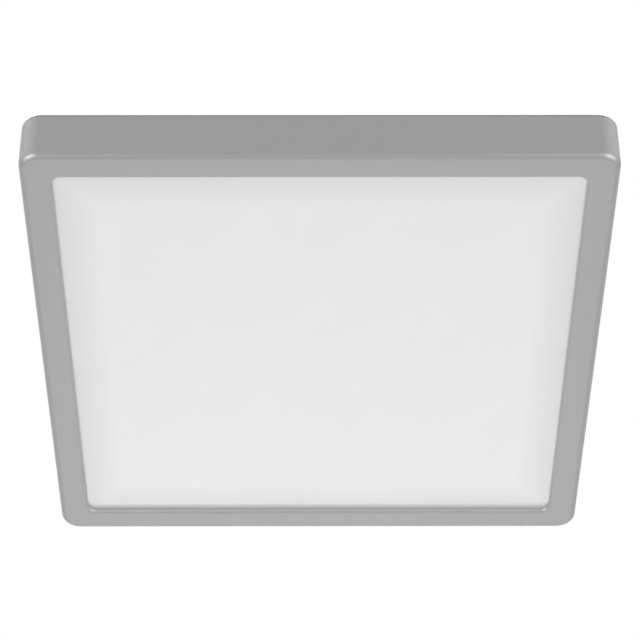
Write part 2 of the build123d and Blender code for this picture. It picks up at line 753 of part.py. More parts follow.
def terminal_pole(x, name):
    """Housing of one pole: funnel for the mains wire, socket for the lamp's lead, slot for the button."""
    with BuildPart() as pole:
        with BuildSketch(Plane.YZ.offset(x - pole_width / 2)):
            with BuildLine():
                Polyline((pole_front_y, pole_floor_z),
                         (pole_back_y, pole_floor_z),
                         (pole_back_y, pole_top_z),
                         (pole_front_y + pole_slope, pole_top_z),
                         (pole_front_y, pole_top_z - pole_slope),
                         close=True)
            make_face()
        extrude(amount=pole_width)
        with BuildSketch(Plane.XY.offset(pole_floor_z)):
            with Locations((x, chamber_y)):
                Rectangle(pole_width - 2 * pole_wall, chamber_length)
        extrude(amount=chamber_top_z - pole_floor_z, mode=Mode.SUBTRACT)
        with Locations(Plane(origin=(x, pole_front_y, lead_z), z_dir=(0, -1, 0))):
            CounterSinkHole(mains_bore_radius, mains_funnel_radius, mains_bore_length, 90)
        with Locations(Plane(origin=(x, pole_back_y, lead_z), z_dir=(0, 1, 0))):
            CounterBoreHole(strand_radius, mains_lead_radius + running_fit, lead_socket_depth,
                            pole_back_y - chamber_y)
        with BuildSketch(Plane.XY.offset(pole_top_z)):
            with Locations((x, chamber_y)):
                Rectangle(button_width + 2 * running_fit, button_length + 2 * running_fit)
        extrude(amount=chamber_top_z - pole_top_z, mode=Mode.SUBTRACT)
    save(pole, name)


def release_button(x, name):
    """Push button of one pole, kept in its slot by a flange under the pole's roof."""
    with BuildPart() as button:
        with BuildSketch(Plane.XY.offset(pole_top_z + button_proud)):
            with Locations((x, chamber_y)):
                Rectangle(button_width, button_length)
        extrude(amount=chamber_top_z - pole_top_z - button_proud)
        fillet(button.faces().sort_by(Axis.Z)[-1].edges(), button_edge)
        with BuildSketch(Plane.XY.offset(chamber_top_z)):
            with Locations((x, chamber_y)):
                Rectangle(button_width + 2 * button_flange, button_length + 2 * button_flange)
        extrude(amount=-button_flange_thickness)
        with BuildSketch(Plane.XY.offset(chamber_top_z - button_flange_thickness)):
            with Locations((x, chamber_y)):
                Rectangle(button_width, button_flange_thickness)
        extrude(amount=-button_tip)
    save(button, name)


pole_places = {"earth": terminal_x - pole_pitch, "neutral": terminal_x, "live": terminal_x + pole_pitch}
for pole_name, pole_x in pole_places.items():
    terminal_pole(pole_x, f"terminal_{pole_name}")
    release_button(pole_x, f"release_button_{pole_name}")

# Terminal clamps: one bent copper-alloy strip in each pole, with a leaf that presses the wire upwards
with BuildPart() as terminal_clamps:
    clamp_front = chamber_y - chamber_length / 2 + running_fit
    clamp_back = chamber_y + chamber_length / 2 - running_fit
    leaf_z = pole_floor_z + clamp_back_height
    for pole_x in pole_places.values():
        with BuildSketch(Plane.YZ.offset(pole_x - clamp_width / 2)):
            with BuildLine():
                FilletPolyline((clamp_front, pole_floor_z),
                               (clamp_back, pole_floor_z),
                               (clamp_back, leaf_z),
                               (clamp_back - clamp_leaf_run, leaf_z + clamp_leaf_rise),
                               radius=clamp_bend)
                offset(amount=clamp_thickness, side=Side.LEFT)
            make_face()
        extrude(amount=clamp_width)
save(terminal_clamps, "terminal_clamps")


def lead(points, radii, lead_radius, name):
    """Insulated lead: straight runs joined by tangent arcs, starting square to its first run."""
    with BuildPart() as wire:
        with BuildLine() as route:
            FilletPolyline(*points, radius=radii)
        with BuildSketch(Plane(origin=route.line @ 0, z_dir=route.line % 0)):
            Circle(lead_radius)
        sweep()
    length = route.wire().length
    print(f"{name}: {length:.1f} mm long, radii {radii}, volume ratio "
          f"{wire.part.volume / (pi * lead_radius ** 2 * length):.4f}")
    save(wire, name)


# Leads: mains leads from the poles into the driver, earth to its ring terminal, LED leads to the board
socket_floor_y = pole_back_y - lead_socket_depth
for pole_name, row, bend in (("live", input_rows[0], live_bend), ("neutral", input_rows[1], neutral_bend)):
    lead([(pole_places[pole_name], socket_floor_y, lead_z),
          (pole_places[pole_name], row, lead_z),
          (input_face_x, row, lead_z)],
         [bend], mains_lead_radius, f"{pole_name}_lead")

lug_axis_z = pad_top_z + mains_lead_radius + running_fit + lug_barrel_wall
barrel_front_y = earth_y - lug_neck - lug_barrel_length
lead([(pole_places["earth"], socket_floor_y, lead_z),
      (pole_places["earth"], pole_back_y + earth_run, lead_z),
      (earth_x, barrel_front_y - earth_run, lug_axis_z),
      (earth_x, earth_y - lug_neck, lug_axis_z)],
     [earth_bend, earth_bend], mains_lead_radius, "earth_lead")

for lead_name, row in zip(("positive", "negative"), led_lead_rows):
    lead([(output_face_x, row, lead_z),
          (lead_hole_x, row, lead_z),
          (lead_hole_x, row, led_lead_front_z),
          (led_connector_end, row, led_lead_front_z)],
         [led_lead_bend, led_lead_turn], led_lead_radius, f"led_lead_{lead_name}")

# Earth ring terminal, crimped on the earth lead and screwed to the pan
with BuildPart() as earth_lug:
    barrel_bore = mains_lead_radius + running_fit
    with BuildSketch(Plane.XZ.offset(-barrel_front_y)):
        with Locations((earth_x, lug_axis_z)):
            Circle(barrel_bore + lug_barrel_wall)
    extrude(amount=-lug_barrel_length)
    with BuildSketch(Plane.XY.offset(pad_top_z)):
        with Locations((earth_x, earth_y)):
            Circle(lug_radius)
        with Locations((earth_x, earth_y - lug_neck / 2)):
            Rectangle(2 * barrel_bore, lug_neck)
        with Locations((earth_x, earth_y)):
            Circle(earth_screw_shank + running_fit, mode=Mode.SUBTRACT)
    extrude(amount=lug_thickness)
    with BuildSketch(Plane.XZ.offset(-barrel_front_y)):
        with Locations((earth_x, lug_axis_z)):
            Circle(barrel_bore)
    extrude(amount=-lug_barrel_length, mode=Mode.SUBTRACT)
save(earth_lug, "earth_lug")
save(screws([(earth_x, earth_y)], pad_top_z + lug_thickness, earth_screw_shank, earth_screw_head,
            earth_screw_head_height, lug_thickness + pad_rise + sheet - screw_tip_gap), "earth_screw")

# Ceiling bracket: strip with two folded legs, screw slots, cable hole and stiffening beads
with BuildPart() as ceiling_bracket:
    with BuildSketch(Plane.XZ):
        with BuildLine():
            FilletPolyline((-leg_face, leg_foot_z), (-leg_face, 0), (leg_face, 0), (leg_face, leg_foot_z),
                           radius=bracket_bend)
            offset(amount=bracket_thickness, side=Side.RIGHT)
        make_face()
    extrude(amount=bracket_width / 2, both=True)
    leg_corners = ceiling_bracket.edges().filter_by(Axis.X).group_by(Axis.Z)[0]
    fillet(leg_corners, bracket_corner)
    bead_y = bracket_width / 2 - bead_outer_land - bracket_bead_width / 2
    bracket_bead_length = bracket_length - 2 * bracket_bead_end
    with BuildSketch(Plane.XY.offset(-bracket_thickness)):
        with Locations((0, -bead_y), (0, bead_y)):
            SlotOverall(bracket_bead_length, bracket_bead_width)
    extrude(amount=-bracket_bead_drop, taper=30)
    with BuildSketch(Plane.XY):
        with Locations((0, -bead_y), (0, bead_y)):
            SlotOverall(bracket_bead_length - bracket_thickness, bracket_bead_width - bracket_thickness)
    extrude(amount=-bracket_bead_drop, taper=30, mode=Mode.SUBTRACT)
    with BuildSketch(Plane.XY):
        with Locations((-slot_spacing / 2, 0), (slot_spacing / 2, 0)):
            SlotOverall(slot_length, slot_width)
        SlotOverall(cable_hole_length, cable_hole_width)
    extrude(amount=-bracket_thickness, mode=Mode.SUBTRACT)
    with BuildSketch(Plane.YZ.offset(-leg_face)):
        with Locations((0, window_z)):
            Rectangle(clip_width + 2 * window_play, window_height)
    extrude(amount=bracket_length, mode=Mode.SUBTRACT)
save(ceiling_bracket, "ceiling_bracket")


# Spring clips: bent leaf with a foot on the pan and a bump that snaps into the window of a leg
def spring_clip(facing, name):
    """Clip beside one leg of the bracket; facing is the sign of X on that side."""
    near = leg_face + clip_gap
    bump_low_z = window_z - window_height / 2 + slip
    bump_high_z = window_z + window_height / 2 - slip
    top_z = -(bracket_thickness + clip_top_gap)
    foot_end = leg_face + clip_pad_inset + clip_pad_length - clip_foot_margin
    outline = [(foot_end, pad_top_z),
               (near, pad_top_z),
               (near, bump_low_z),
               (leg_face - clip_bite, window_z),
               (near, bump_high_z),
               (near + clip_flare, top_z)]
    with BuildPart() as clip:
        with BuildSketch(Plane.XZ):
            with BuildLine():
                FilletPolyline(*[(facing * x, z) for x, z in outline], radius=clip_bend)
                offset(amount=clip_thickness, side=Side.RIGHT if facing > 0 else Side.LEFT)
            make_face()
        extrude(amount=clip_width / 2, both=True)
        foot_rivets = [(x, y) for x, y in rivet_places if x * facing > 0]
        rivet_land = 2 * (rivet_head + rivet_margin)
        with BuildSketch(Plane.XY.offset(pad_top_z)):
            with Locations((facing * clip_pad_x, 0)):
                RectangleRounded(rivet_land, rivet_spread + rivet_land, rivet_head)
            with Locations(*foot_rivets):
                Circle(rivet_shank + thread_play, mode=Mode.SUBTRACT)
        extrude(amount=clip_thickness)
        with BuildSketch(Plane.XY.offset(pad_top_z)):
            with Locations(*foot_rivets):
                Circle(rivet_shank + thread_play)
        extrude(amount=clip_thickness, mode=Mode.SUBTRACT)
    save(clip, name)


spring_clip(-1, "spring_clip_left")
spring_clip(1, "spring_clip_right")

with BuildPart() as clip_rivets:
    with BuildSketch(Plane.XY.offset(pad_top_z + clip_thickness)):
        with Locations(*rivet_places):
            Circle(rivet_head)
    extrude(amount=rivet_head_height)
    rivet_tops = clip_rivets.faces().sort_by(Axis.Z)[-len(rivet_places):]
    chamfer(rivet_tops.edges(), min(head_edge, rivet_head_height / 2))
    with BuildSketch(Plane.XY.offset(pad_top_z + clip_thickness)):
        with Locations(*rivet_places):
            Circle(rivet_shank)
    extrude(amount=-(clip_thickness + sheet))
    with BuildSketch(Plane.XY.offset(pad_top_z - sheet)):
        with Locations(*rivet_places):
            Circle(rivet_tail_radius)
    extrude(amount=-rivet_tail)
save(clip_rivets, "clip_rivets")
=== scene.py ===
# %% [markdown]
# # A square LED ceiling light
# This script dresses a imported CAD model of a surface-mounted LED ceiling light. The CAD solids give every
# size and joint. Here the visible pieces get smooth meshes, soft edges and procedural finishes, and the
# scene gets a camera and studio light. Everything is in metres, with Z = 0 at the ceiling and the light
# facing down.

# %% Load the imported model
import math

import bmesh
import bpy
from mathutils import Matrix, Vector


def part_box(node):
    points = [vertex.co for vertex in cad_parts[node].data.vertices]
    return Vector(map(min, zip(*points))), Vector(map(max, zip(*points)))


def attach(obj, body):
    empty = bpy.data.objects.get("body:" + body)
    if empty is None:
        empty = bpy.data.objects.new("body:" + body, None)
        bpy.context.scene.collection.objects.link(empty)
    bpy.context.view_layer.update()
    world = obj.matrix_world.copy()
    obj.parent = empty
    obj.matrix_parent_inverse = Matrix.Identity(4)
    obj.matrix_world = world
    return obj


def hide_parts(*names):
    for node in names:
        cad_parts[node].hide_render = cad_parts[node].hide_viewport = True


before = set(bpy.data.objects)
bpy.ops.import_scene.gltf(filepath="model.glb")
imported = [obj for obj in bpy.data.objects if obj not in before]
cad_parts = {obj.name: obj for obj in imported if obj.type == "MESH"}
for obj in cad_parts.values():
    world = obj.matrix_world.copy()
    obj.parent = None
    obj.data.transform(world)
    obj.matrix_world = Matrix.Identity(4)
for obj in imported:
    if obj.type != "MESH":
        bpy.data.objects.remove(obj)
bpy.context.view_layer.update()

MM = 0.001

# %% [markdown]
# ## Camera
# The lamp is seen from below and in front, as someone standing in a room sees it. A long lens keeps the
# square nearly free of perspective. The pitch says how far the camera looks up, and the small yaw and roll
# are those of a hand-held view. The camera's axes are written as a rotation matrix, because that puts the
# lamp in the picture without any trial and error.

# %% Camera
LENS = 131.3
PITCH = 0.7485
YAW = 0.0067
ROLL = -0.0054
AIM = Vector((0, 0, -14.45)) * MM
AIM_IN_VIEW = Vector((-0.467, -9.543, 1204.4)) * MM

scene = bpy.context.scene
forward = Vector((math.sin(YAW) * math.cos(PITCH), math.cos(YAW) * math.cos(PITCH), math.sin(PITCH)))
level_right = Vector((math.cos(YAW), -math.sin(YAW), 0))
level_up = level_right.cross(forward)
right = math.cos(ROLL) * level_right + math.sin(ROLL) * level_up
up = math.cos(ROLL) * level_up - math.sin(ROLL) * level_right

camera_data = bpy.data.cameras.new("camera")
camera_data.lens = LENS
camera = bpy.data.objects.new("camera", camera_data)
scene.collection.objects.link(camera)
camera_axes = Matrix((right, up, -forward)).transposed().to_4x4()
camera_place = AIM - AIM_IN_VIEW.x * right - AIM_IN_VIEW.y * up - AIM_IN_VIEW.z * forward
camera.matrix_world = Matrix.Translation(camera_place) @ camera_axes
bpy.context.scene.camera = camera
print("camera at", [round(c, 3) for c in camera_place])

# %% [markdown]
# ## White studio
# Product pictures of such lamps have a pure white background and soft light from all sides. The world is
# white to the camera and to reflections, but dimmer to matt surfaces, so that white parts don't burn out.
# The Light Path node says which kind of ray is asking, so one world can be both.

# %% White studio
AMBIENT = 0.44

scene.view_settings.view_transform = "Standard"
world = bpy.data.worlds.new("white studio")
world.use_nodes = True
scene.world = world
sky = world.node_tree
sky.nodes.clear()


def background(strength):
    """A white background of this strength."""
    made = sky.nodes.new("ShaderNodeBackground")
    made.inputs["Color"].default_value = (1, 1, 1, 1)
    made.inputs["Strength"].default_value = strength
    return made.outputs[0]


rays = sky.nodes.new("ShaderNodeLightPath").outputs
sees_white = rays["Is Camera Ray"]
for kind in ("Is Glossy Ray", "Is Transmission Ray"):
    either = sky.nodes.new("ShaderNodeMath")
    either.operation = "MAXIMUM"
    sky.links.new(sees_white, either.inputs[0])
    sky.links.new(rays[kind], either.inputs[1])
    sees_white = either.outputs[0]
choice = sky.nodes.new("ShaderNodeMixShader")
for source, socket in zip((sees_white, background(AMBIENT), background(1.0)), choice.inputs):
    sky.links.new(source, socket)
sky.links.new(choice.outputs[0], sky.nodes.new("ShaderNodeOutputWorld").inputs[0])
print("world: white to the camera, strength", AMBIENT, "to matt surfaces")

# %% [markdown]
# ## Light panels
# Fills from below, from behind, in front and above give the flat faces their tones. The one behind is the
# strongest, so it lights the lip and the diffuser but leaves the rounded front edge in soft shade. Panels
# at the sides light nothing by themselves: they only show in glossy surfaces, as the highlights on the
# rounded corners. Panels that did both would wash out that shade.

# %% Light panels
def light_panel(name, place, size, watts, fills=True, mirrored=True):
    """A square soft light that faces the lamp; it can fill matt surfaces, show in glossy ones, or both."""
    data = bpy.data.lights.new(name, "AREA")
    data.size = size
    data.energy = watts
    panel = bpy.data.objects.new(name, data)
    panel.location = place
    panel.rotation_mode = "QUATERNION"
    panel.rotation_quaternion = (AIM - Vector(place)).to_track_quat("-Z", "Y")
    panel.visible_camera = False
    panel.visible_diffuse = fills
    panel.visible_glossy = mirrored
    scene.collection.objects.link(panel)
    print("light", name, "at", place)


light_panel("low fill", (0.0, 0.0, -1.5), size=6.0, watts=20, mirrored=False)
light_panel("rear fill", (0.0, 2.8, -1.6), size=0.9, watts=54, mirrored=False)
light_panel("front fill", (0.0, -2.5, 0.3), size=1.2, watts=4, mirrored=False)
light_panel("top fill", (0.0, 0.5, 2.1), size=1.0, watts=20, mirrored=False)
for side in (-1, 1):
    light_panel("side panel", (side * 1.14, -0.80, -0.77), size=1.2, watts=22, fills=False)
    light_panel("high panel", (side * 1.04, -0.35, 1.1), size=1.2, watts=3, fills=False)

# %% [markdown]
# ## Nodes of a finish
# A finish is a Principled shader. What is the same all over a surface is set on the shader's own sockets,
# and nodes come in only where something changes from place to place. A few helpers keep the node code short.
# What one node passes to the next is written as a pair: the node, and the name or number of its output.

# %% Nodes of a finish
def grey(value):
    """A neutral colour."""
    return (value, value, value)


def new_finish(name, colour, roughness, metallic=0.0):
    """A material with its constants set on the Principled shader itself."""
    finish = bpy.data.materials.new(name)
    finish.use_nodes = True
    shader = finish.node_tree.nodes["Principled BSDF"]
    shader.inputs["Base Color"].default_value = (*colour, 1)
    shader.inputs["Roughness"].default_value = roughness
    shader.inputs["Metallic"].default_value = metallic
    return finish


def link(finish, source, socket):
    """Link a (node, output) pair to a socket."""
    maker, output = source
    finish.node_tree.links.new(maker.outputs[output], socket)


def node(finish, kind, links=(), settings=(), **inputs):
    """Add a node, set its plain inputs by name, and link others from (node, output) pairs."""
    made = finish.node_tree.nodes.new(kind)
    for setting, value in dict(settings).items():
        setattr(made, setting, value)
    for socket, value in inputs.items():
        made.inputs[socket.replace("_", " ")].default_value = value
    for socket, source in dict(links).items():
        link(finish, source, made.inputs[socket])
    return made


def to_shader(finish, source, socket):
    """Link a (node, output) pair to one socket of the finish's shader."""
    link(finish, source, finish.node_tree.nodes["Principled BSDF"].inputs[socket])


# %% [markdown]
# ## Floor
# A matt pale floor far below closes the studio. It sends soft light back up at the lamp and is seen behind
# it in views from above. A single large square with a plain finish is enough for that.

# %% Floor
FLOOR_Z = -2.0
FLOOR_HALF = 60.0

bm = bmesh.new()
bmesh.ops.create_grid(bm, x_segments=1, y_segments=1, size=FLOOR_HALF)
bmesh.ops.translate(bm, verts=bm.verts, vec=(0, 0, FLOOR_Z))
floor_mesh = bpy.data.meshes.new("floor")
bm.to_mesh(floor_mesh)
bm.free()
floor_mesh.materials.append(new_finish("pale floor", grey(0.86), 0.9))
floor = bpy.data.objects.new("floor", floor_mesh)
scene.collection.objects.link(floor)
print("floor at", FLOOR_Z, "m")

# %% [markdown]
# ## Mottle, gloss and grain
# Real surfaces are never one flat colour, so three touches come back in most finishes: a faint mottle in
# the colour, a little change in roughness, and a fine grain as bump. All three read noise on Object
# coordinates, which are metres in the lamp's own frame, so a blotch has the same real size on every piece.
# Image textures would need a UV map on each piece for the same effect.

# %% Mottle, gloss and grain
NOISE_RANGE = (0.3, 0.7)
WHOLE_RANGE = (0.0, 1.0)


def place_in_lamp(finish, stretch=(1, 1, 1)):
    """Object coordinates, stretched so that a pattern can run along a direction."""
    where = node(finish, "ShaderNodeTexCoord")
    return (node(finish, "ShaderNodeMapping", links={"Vector": (where, "Object")}, Scale=stretch), "Vector")


def noise(finish, size_mm, stretch):
    """Noise whose blotches are about this many millimetres across."""
    blotches = node(finish, "ShaderNodeTexNoise", links={"Vector": place_in_lamp(finish, stretch)},
                    Scale=1 / (size_mm * MM))
    return (blotches, "Fac")


def colour_ramp(finish, source, low, high, positions=WHOLE_RANGE, interpolation="LINEAR"):
    """Base colour that goes from one colour to another as a number rises from one position to the next."""
    ramp = node(finish, "ShaderNodeValToRGB", links={"Fac": source})
    ramp.color_ramp.interpolation = interpolation
    for stop, position, colour in zip(ramp.color_ramp.elements, positions, (low, high)):
        stop.position = position
        stop.color = (*colour, 1)
    to_shader(finish, (ramp, "Color"), "Base Color")


def gloss_ramp(finish, source, low, high, positions=WHOLE_RANGE):
    """Roughness that goes from one value to another as a number rises from one position to the next."""
    spread = node(finish, "ShaderNodeMapRange", links={"Value": source}, From_Min=positions[0],
                  From_Max=positions[1], To_Min=low, To_Max=high)
    to_shader(finish, (spread, "Result"), "Roughness")


def raised(finish, pattern, depth_mm, strength):
    """Bump that raises the surface where a pattern is high."""
    bump = node(finish, "ShaderNodeBump", links={"Height": pattern}, Strength=strength,
                Distance=depth_mm * MM)
    to_shader(finish, (bump, "Normal"), "Normal")


def mottle(finish, size_mm, low, high, stretch=(1, 1, 1)):
    """Vary the base colour between two colours."""
    colour_ramp(finish, noise(finish, size_mm, stretch), low, high, NOISE_RANGE)


def uneven_gloss(finish, size_mm, low, high, stretch=(1, 1, 1)):
    """Vary the roughness between two values."""
    gloss_ramp(finish, noise(finish, size_mm, stretch), low, high, NOISE_RANGE)


def grain(finish, size_mm, depth_mm, strength=0.5, stretch=(1, 1, 1)):
    """Fine surface texture as bump."""
    raised(finish, noise(finish, size_mm, stretch), depth_mm, strength)


# %% [markdown]
# ## Painted light and shade that follow the place
# Painted light and shade depend on where a point lies: how high on the wall, or how far from the middle.
# Map Range turns such a distance into a mask from 0 to 1, and the base colour is blended into another where
# the mask rises.
# Vertex colours could do it too, but a soft edge would then need many more vertices.

# %% Painted light and shade that follow the place
def axis_of(finish, axis):
    """One Object coordinate, in metres."""
    where = node(finish, "ShaderNodeTexCoord")
    return (node(finish, "ShaderNodeSeparateXYZ", links={"Vector": (where, "Object")}), axis)


def maths(finish, operation, *values):
    """Work out one number from others, each a constant or a (node, output) pair."""
    made = node(finish, "ShaderNodeMath", settings={"operation": operation})
    for socket, value in zip(made.inputs, values):
        if isinstance(value, tuple):
            link(finish, value, socket)
        else:
            socket.default_value = value
    return (made, 0)


def from_middle(finish):
    """The larger of |X| and |Y|, in metres: distance from the lamp's middle, measured square."""
    sizes = [maths(finish, "ABSOLUTE", axis_of(finish, axis)) for axis in "XY"]
    return maths(finish, "MAXIMUM", *sizes)


def between(finish, source, low_mm, high_mm):
    """0 at one place and 1 at another, with a straight rise between them."""
    rise = node(finish, "ShaderNodeMapRange", links={"Value": source},
                From_Min=low_mm * MM, From_Max=high_mm * MM)
    return (rise, "Result")


def tint(finish, mask, colour):
    """Blend what feeds the base colour into another colour where a mask rises to 1."""
    base = finish.node_tree.nodes["Principled BSDF"].inputs["Base Color"]
    blend = node(finish, "ShaderNodeMixRGB", links={"Fac": mask}, Color2=(*colour, 1))
    finish.node_tree.links.new(base.links[0].from_socket, blend.inputs["Color1"])
    to_shader(finish, (blend, "Color"), "Base Color")


# %% [markdown]
# ## Finishes of the front
# The frame is a plastic moulding with satin silver paint. Fine flakes make such paint part metal and part
# lacquer, so Metallic lies between 0 and 1. Painted shade darkens the frame along the ceiling edge, and
# painted light makes it paler on the edge of the opening. The diffuser is opal acrylic: white and satin,
# with painted shade that makes it greyer towards its rim.

# %% Finishes of the front
CEILING_PAINTED_SHADE = (-2.0, -1.2)
PAINTED_LIGHT_RISE = (-27.9, -26.7)
PAINTED_LIGHT_REACH = (130.0, 129.0)
RIM_PAINTED_SHADE = (107.0, 127.0)

silver_paint = new_finish("silver paint", grey(0.44), 0.42, metallic=0.25)
mottle(silver_paint, 0.35, grey(0.42), grey(0.46))
level = axis_of(silver_paint, "Z")
# Painted shade: the frame's base colour darkens to a deep grey along the ceiling edge.
tint(silver_paint, between(silver_paint, level, *CEILING_PAINTED_SHADE), grey(0.22))
# Painted light: the frame's colour turns paler on the low inner edge of the opening.
painted_light_height = between(silver_paint, level, *PAINTED_LIGHT_RISE)
painted_light_reach = between(silver_paint, from_middle(silver_paint), *PAINTED_LIGHT_REACH)
tint(silver_paint, maths(silver_paint, "MULTIPLY", painted_light_height, painted_light_reach), grey(0.60))
uneven_gloss(silver_paint, 6, 0.40, 0.46)
grain(silver_paint, 0.8, 0.02, strength=0.25)

opal_acrylic = new_finish("opal acrylic", grey(0.87), 0.42)
mottle(opal_acrylic, 25, grey(0.865), grey(0.875))
# Painted shade: the diffuser's base colour greys towards its rim.
tint(opal_acrylic, between(opal_acrylic, from_middle(opal_acrylic), *RIM_PAINTED_SHADE), grey(0.76))
uneven_gloss(opal_acrylic, 12, 0.40, 0.44)
grain(opal_acrylic, 0.5, 0.01, strength=0.2)
print("front finishes:", silver_paint.name, "and", opal_acrylic.name)

# %% [markdown]
# ## Rounded squares
# The large pieces of this lamp are rounded squares drawn out along Z. Four vertices get their corners
# rounded by a vertex bevel. The loop is then extruded from section to section: each corner is scaled about
# its own centre and moved, so the radius can change on the way. Bridging loops of different radii would
# twist them.

# %% Rounded squares
CORNER_SEGMENTS = 12


def rounded_loop(bm, section):
    """A rounded square of edges round the lamp's axis, from (half side, corner radius, z) in mm."""
    half, radius, z = section
    known = set(bm.edges)
    corners = []
    for x, y in ((-1, -1), (1, -1), (1, 1), (-1, 1)):
        corners.append(bm.verts.new(Vector((x * half, y * half, z)) * MM))
    bm.faces.new(corners)
    bmesh.ops.bevel(bm, geom=corners, offset=radius * MM, offset_type="OFFSET", segments=CORNER_SEGMENTS,
                    profile=0.5, affect="VERTICES", material=-1)
    loop = [edge for edge in bm.edges if edge not in known]
    bmesh.ops.delete(bm, geom=list(loop[0].link_faces), context="FACES_ONLY")
    return loop


def extrude_loop(bm, loop):
    """Extrude a loop of edges on the spot; gives the new loop's vertices and edges."""
    grown = bmesh.ops.extrude_edge_only(bm, edges=loop)["geom"]
    verts = [item for item in grown if isinstance(item, bmesh.types.BMVert)]
    edges = [item for item in grown if isinstance(item, bmesh.types.BMEdge)]
    return verts, [edge for edge in edges if set(verts).issuperset(edge.verts)]


def next_loop(bm, loop, old, new):
    """Extrude a loop and bring it to a new section, corner by corner."""
    verts, edges = extrude_loop(bm, loop)
    ratio = new[1] / old[1]
    for x in (-1, 1):
        for y in (-1, 1):
            corner = [v for v in verts if v.co.x * x > 0 and v.co.y * y > 0]
            old_centre, new_centre = (Vector((x * (half - radius), y * (half - radius), z)) * MM
                                      for half, radius, z in (old, new))
            bmesh.ops.scale(bm, vec=(ratio, ratio, 1), space=Matrix.Translation(-old_centre), verts=corner)
            bmesh.ops.translate(bm, vec=new_centre - old_centre, verts=corner)
    return edges


def draw_out(bm, sections, ring=False):
    """Extrude a rounded square through sections; a ring closes on itself, others get end faces."""
    loops = [rounded_loop(bm, sections[0])]
    for old, new in zip(sections, sections[1:]):
        loops.append(next_loop(bm, loops[-1], old, new))
    if ring:
        bmesh.ops.bridge_loops(bm, edges=loops[-1] + loops[0])
    else:
        for end in (loops[0], loops[-1]):
            bmesh.ops.edgeloop_fill(bm, edges=end)
    bmesh.ops.recalc_face_normals(bm, faces=bm.faces)
    return loops


# %% [markdown]
# ## Silver frame
# The frame is one moulding: a side wall with a flat lip in front, a soft front edge, and rounded corners
# that are tighter at the opening than outside. Six sharp loops draw its section, from the ceiling edge round
# the lip and back up the inner wall. A bevel then rounds each edge with its own radius and number of steps,
# which is easier to change than a curve swept round the square. Only the corner behind the lip stays sharp.

# %% Silver frame
WALL_TOP = -0.5
LIP_FRONT = -28.0
LEDGE = -25.5
OPENING_HALF = 126.7
OPENING_RADIUS = 4.5
INNER_HALF = 139.5
INNER_RADIUS = 7.5
FRAME_SECTIONS = [
    (142.5, 10.5, WALL_TOP),
    (142.0, 10.0, LIP_FRONT),
    (OPENING_HALF, OPENING_RADIUS, LIP_FRONT),
    (OPENING_HALF, OPENING_RADIUS, LEDGE),
    (INNER_HALF, INNER_RADIUS, LEDGE),
    (INNER_HALF, INNER_RADIUS, WALL_TOP),
]
FRAME_EDGES = [(0.6, 4), (3.3, 8), (1.6, 8), (0.2, 4), None, (0.3, 4)]


def round_edges(bm, edges, radius, segments=3):
    """Round these edges to a radius in mm."""
    bmesh.ops.bevel(bm, geom=edges, offset=radius * MM, offset_type="OFFSET", segments=segments,
                    profile=0.5, affect="EDGES", clamp_overlap=True, material=-1)


frame_bm = bmesh.new()
frame_loops = draw_out(frame_bm, FRAME_SECTIONS, ring=True)
for loop, edge in zip(frame_loops, FRAME_EDGES):
    if edge:
        round_edges(frame_bm, loop, *edge)
print("frame shell:", len(frame_bm.faces), "faces")

# %% [markdown]
# ## Rib behind the lip
# Behind the lip, the moulding has a low rib that keeps the diffuser in place. It is a ring of its own in the
# same mesh, sunk a little into the lip that carries it. Cutting it into the frame's section would add four
# more loops there, for edges that hardly show.

# %% Rib behind the lip
SUNK = 0.1
FOOT = LEDGE - SUNK
RIB_TOP = -23.5
RIB_EDGE = 0.2
RIB_SECTIONS = [(131.8, 7.3, FOOT), (131.8, 7.3, RIB_TOP), (130.8, 6.3, RIB_TOP), (130.8, 6.3, FOOT)]

rib_loops = draw_out(frame_bm, RIB_SECTIONS, ring=True)
for loop in rib_loops[1:3]:
    round_edges(frame_bm, loop, RIB_EDGE)
print("frame with its rib:", len(frame_bm.faces), "faces")

# %% [markdown]
# ## Screw bosses
# Eight bosses stand behind the lip, two along each wall, and take the screws of the pan. A web ties each of
# them to the wall. A boss is a body of revolution with a pilot bore, so half of its section is spun round
# its axis. Bosses and webs are sunk into the lip as the rib is.

# %% Screw bosses
BOSS_LINE = 134.0
BOSS_SPREAD = 90.0
BOSS_TOP = -14.6
BOSS_HALF_SECTION = [(0, -23.6), (1.25, -23.6), (1.25, -15.0), (1.65, BOSS_TOP), (2.9, BOSS_TOP),
                     (3.2, -14.9), (3.2, FOOT), (0, FOOT)]
WEB_TOP = -19.9
WEB_HALF = 0.8
WEB_START = 2.9
WEB_END = 5.6
SPIN_SEAM = 0.001


def turned_part(bm, half_section, centre, segments=32):
    """Spin points of (radius, z), in mm, once round a vertical axis."""
    verts = [bm.verts.new(Vector((centre[0] + radius, centre[1], z)) * MM) for radius, z in half_section]
    edges = [bm.edges.new(pair) for pair in zip(verts, verts[1:])]
    bmesh.ops.spin(bm, geom=verts + edges, cent=Vector((*centre, 0)) * MM, axis=(0, 0, 1),
                   angle=2 * math.pi, steps=segments, use_merge=True)
    bmesh.ops.remove_doubles(bm, verts=bm.verts, dist=SPIN_SEAM * MM)


def block(bm, corner, opposite):
    """A box between two opposite corners, in mm."""
    middle = (Vector(corner) + Vector(opposite)) / 2
    size = Vector([abs(a - b) for a, b in zip(corner, opposite)])
    bmesh.ops.create_cube(bm, size=1, matrix=Matrix.LocRotScale(middle * MM, None, size * MM))


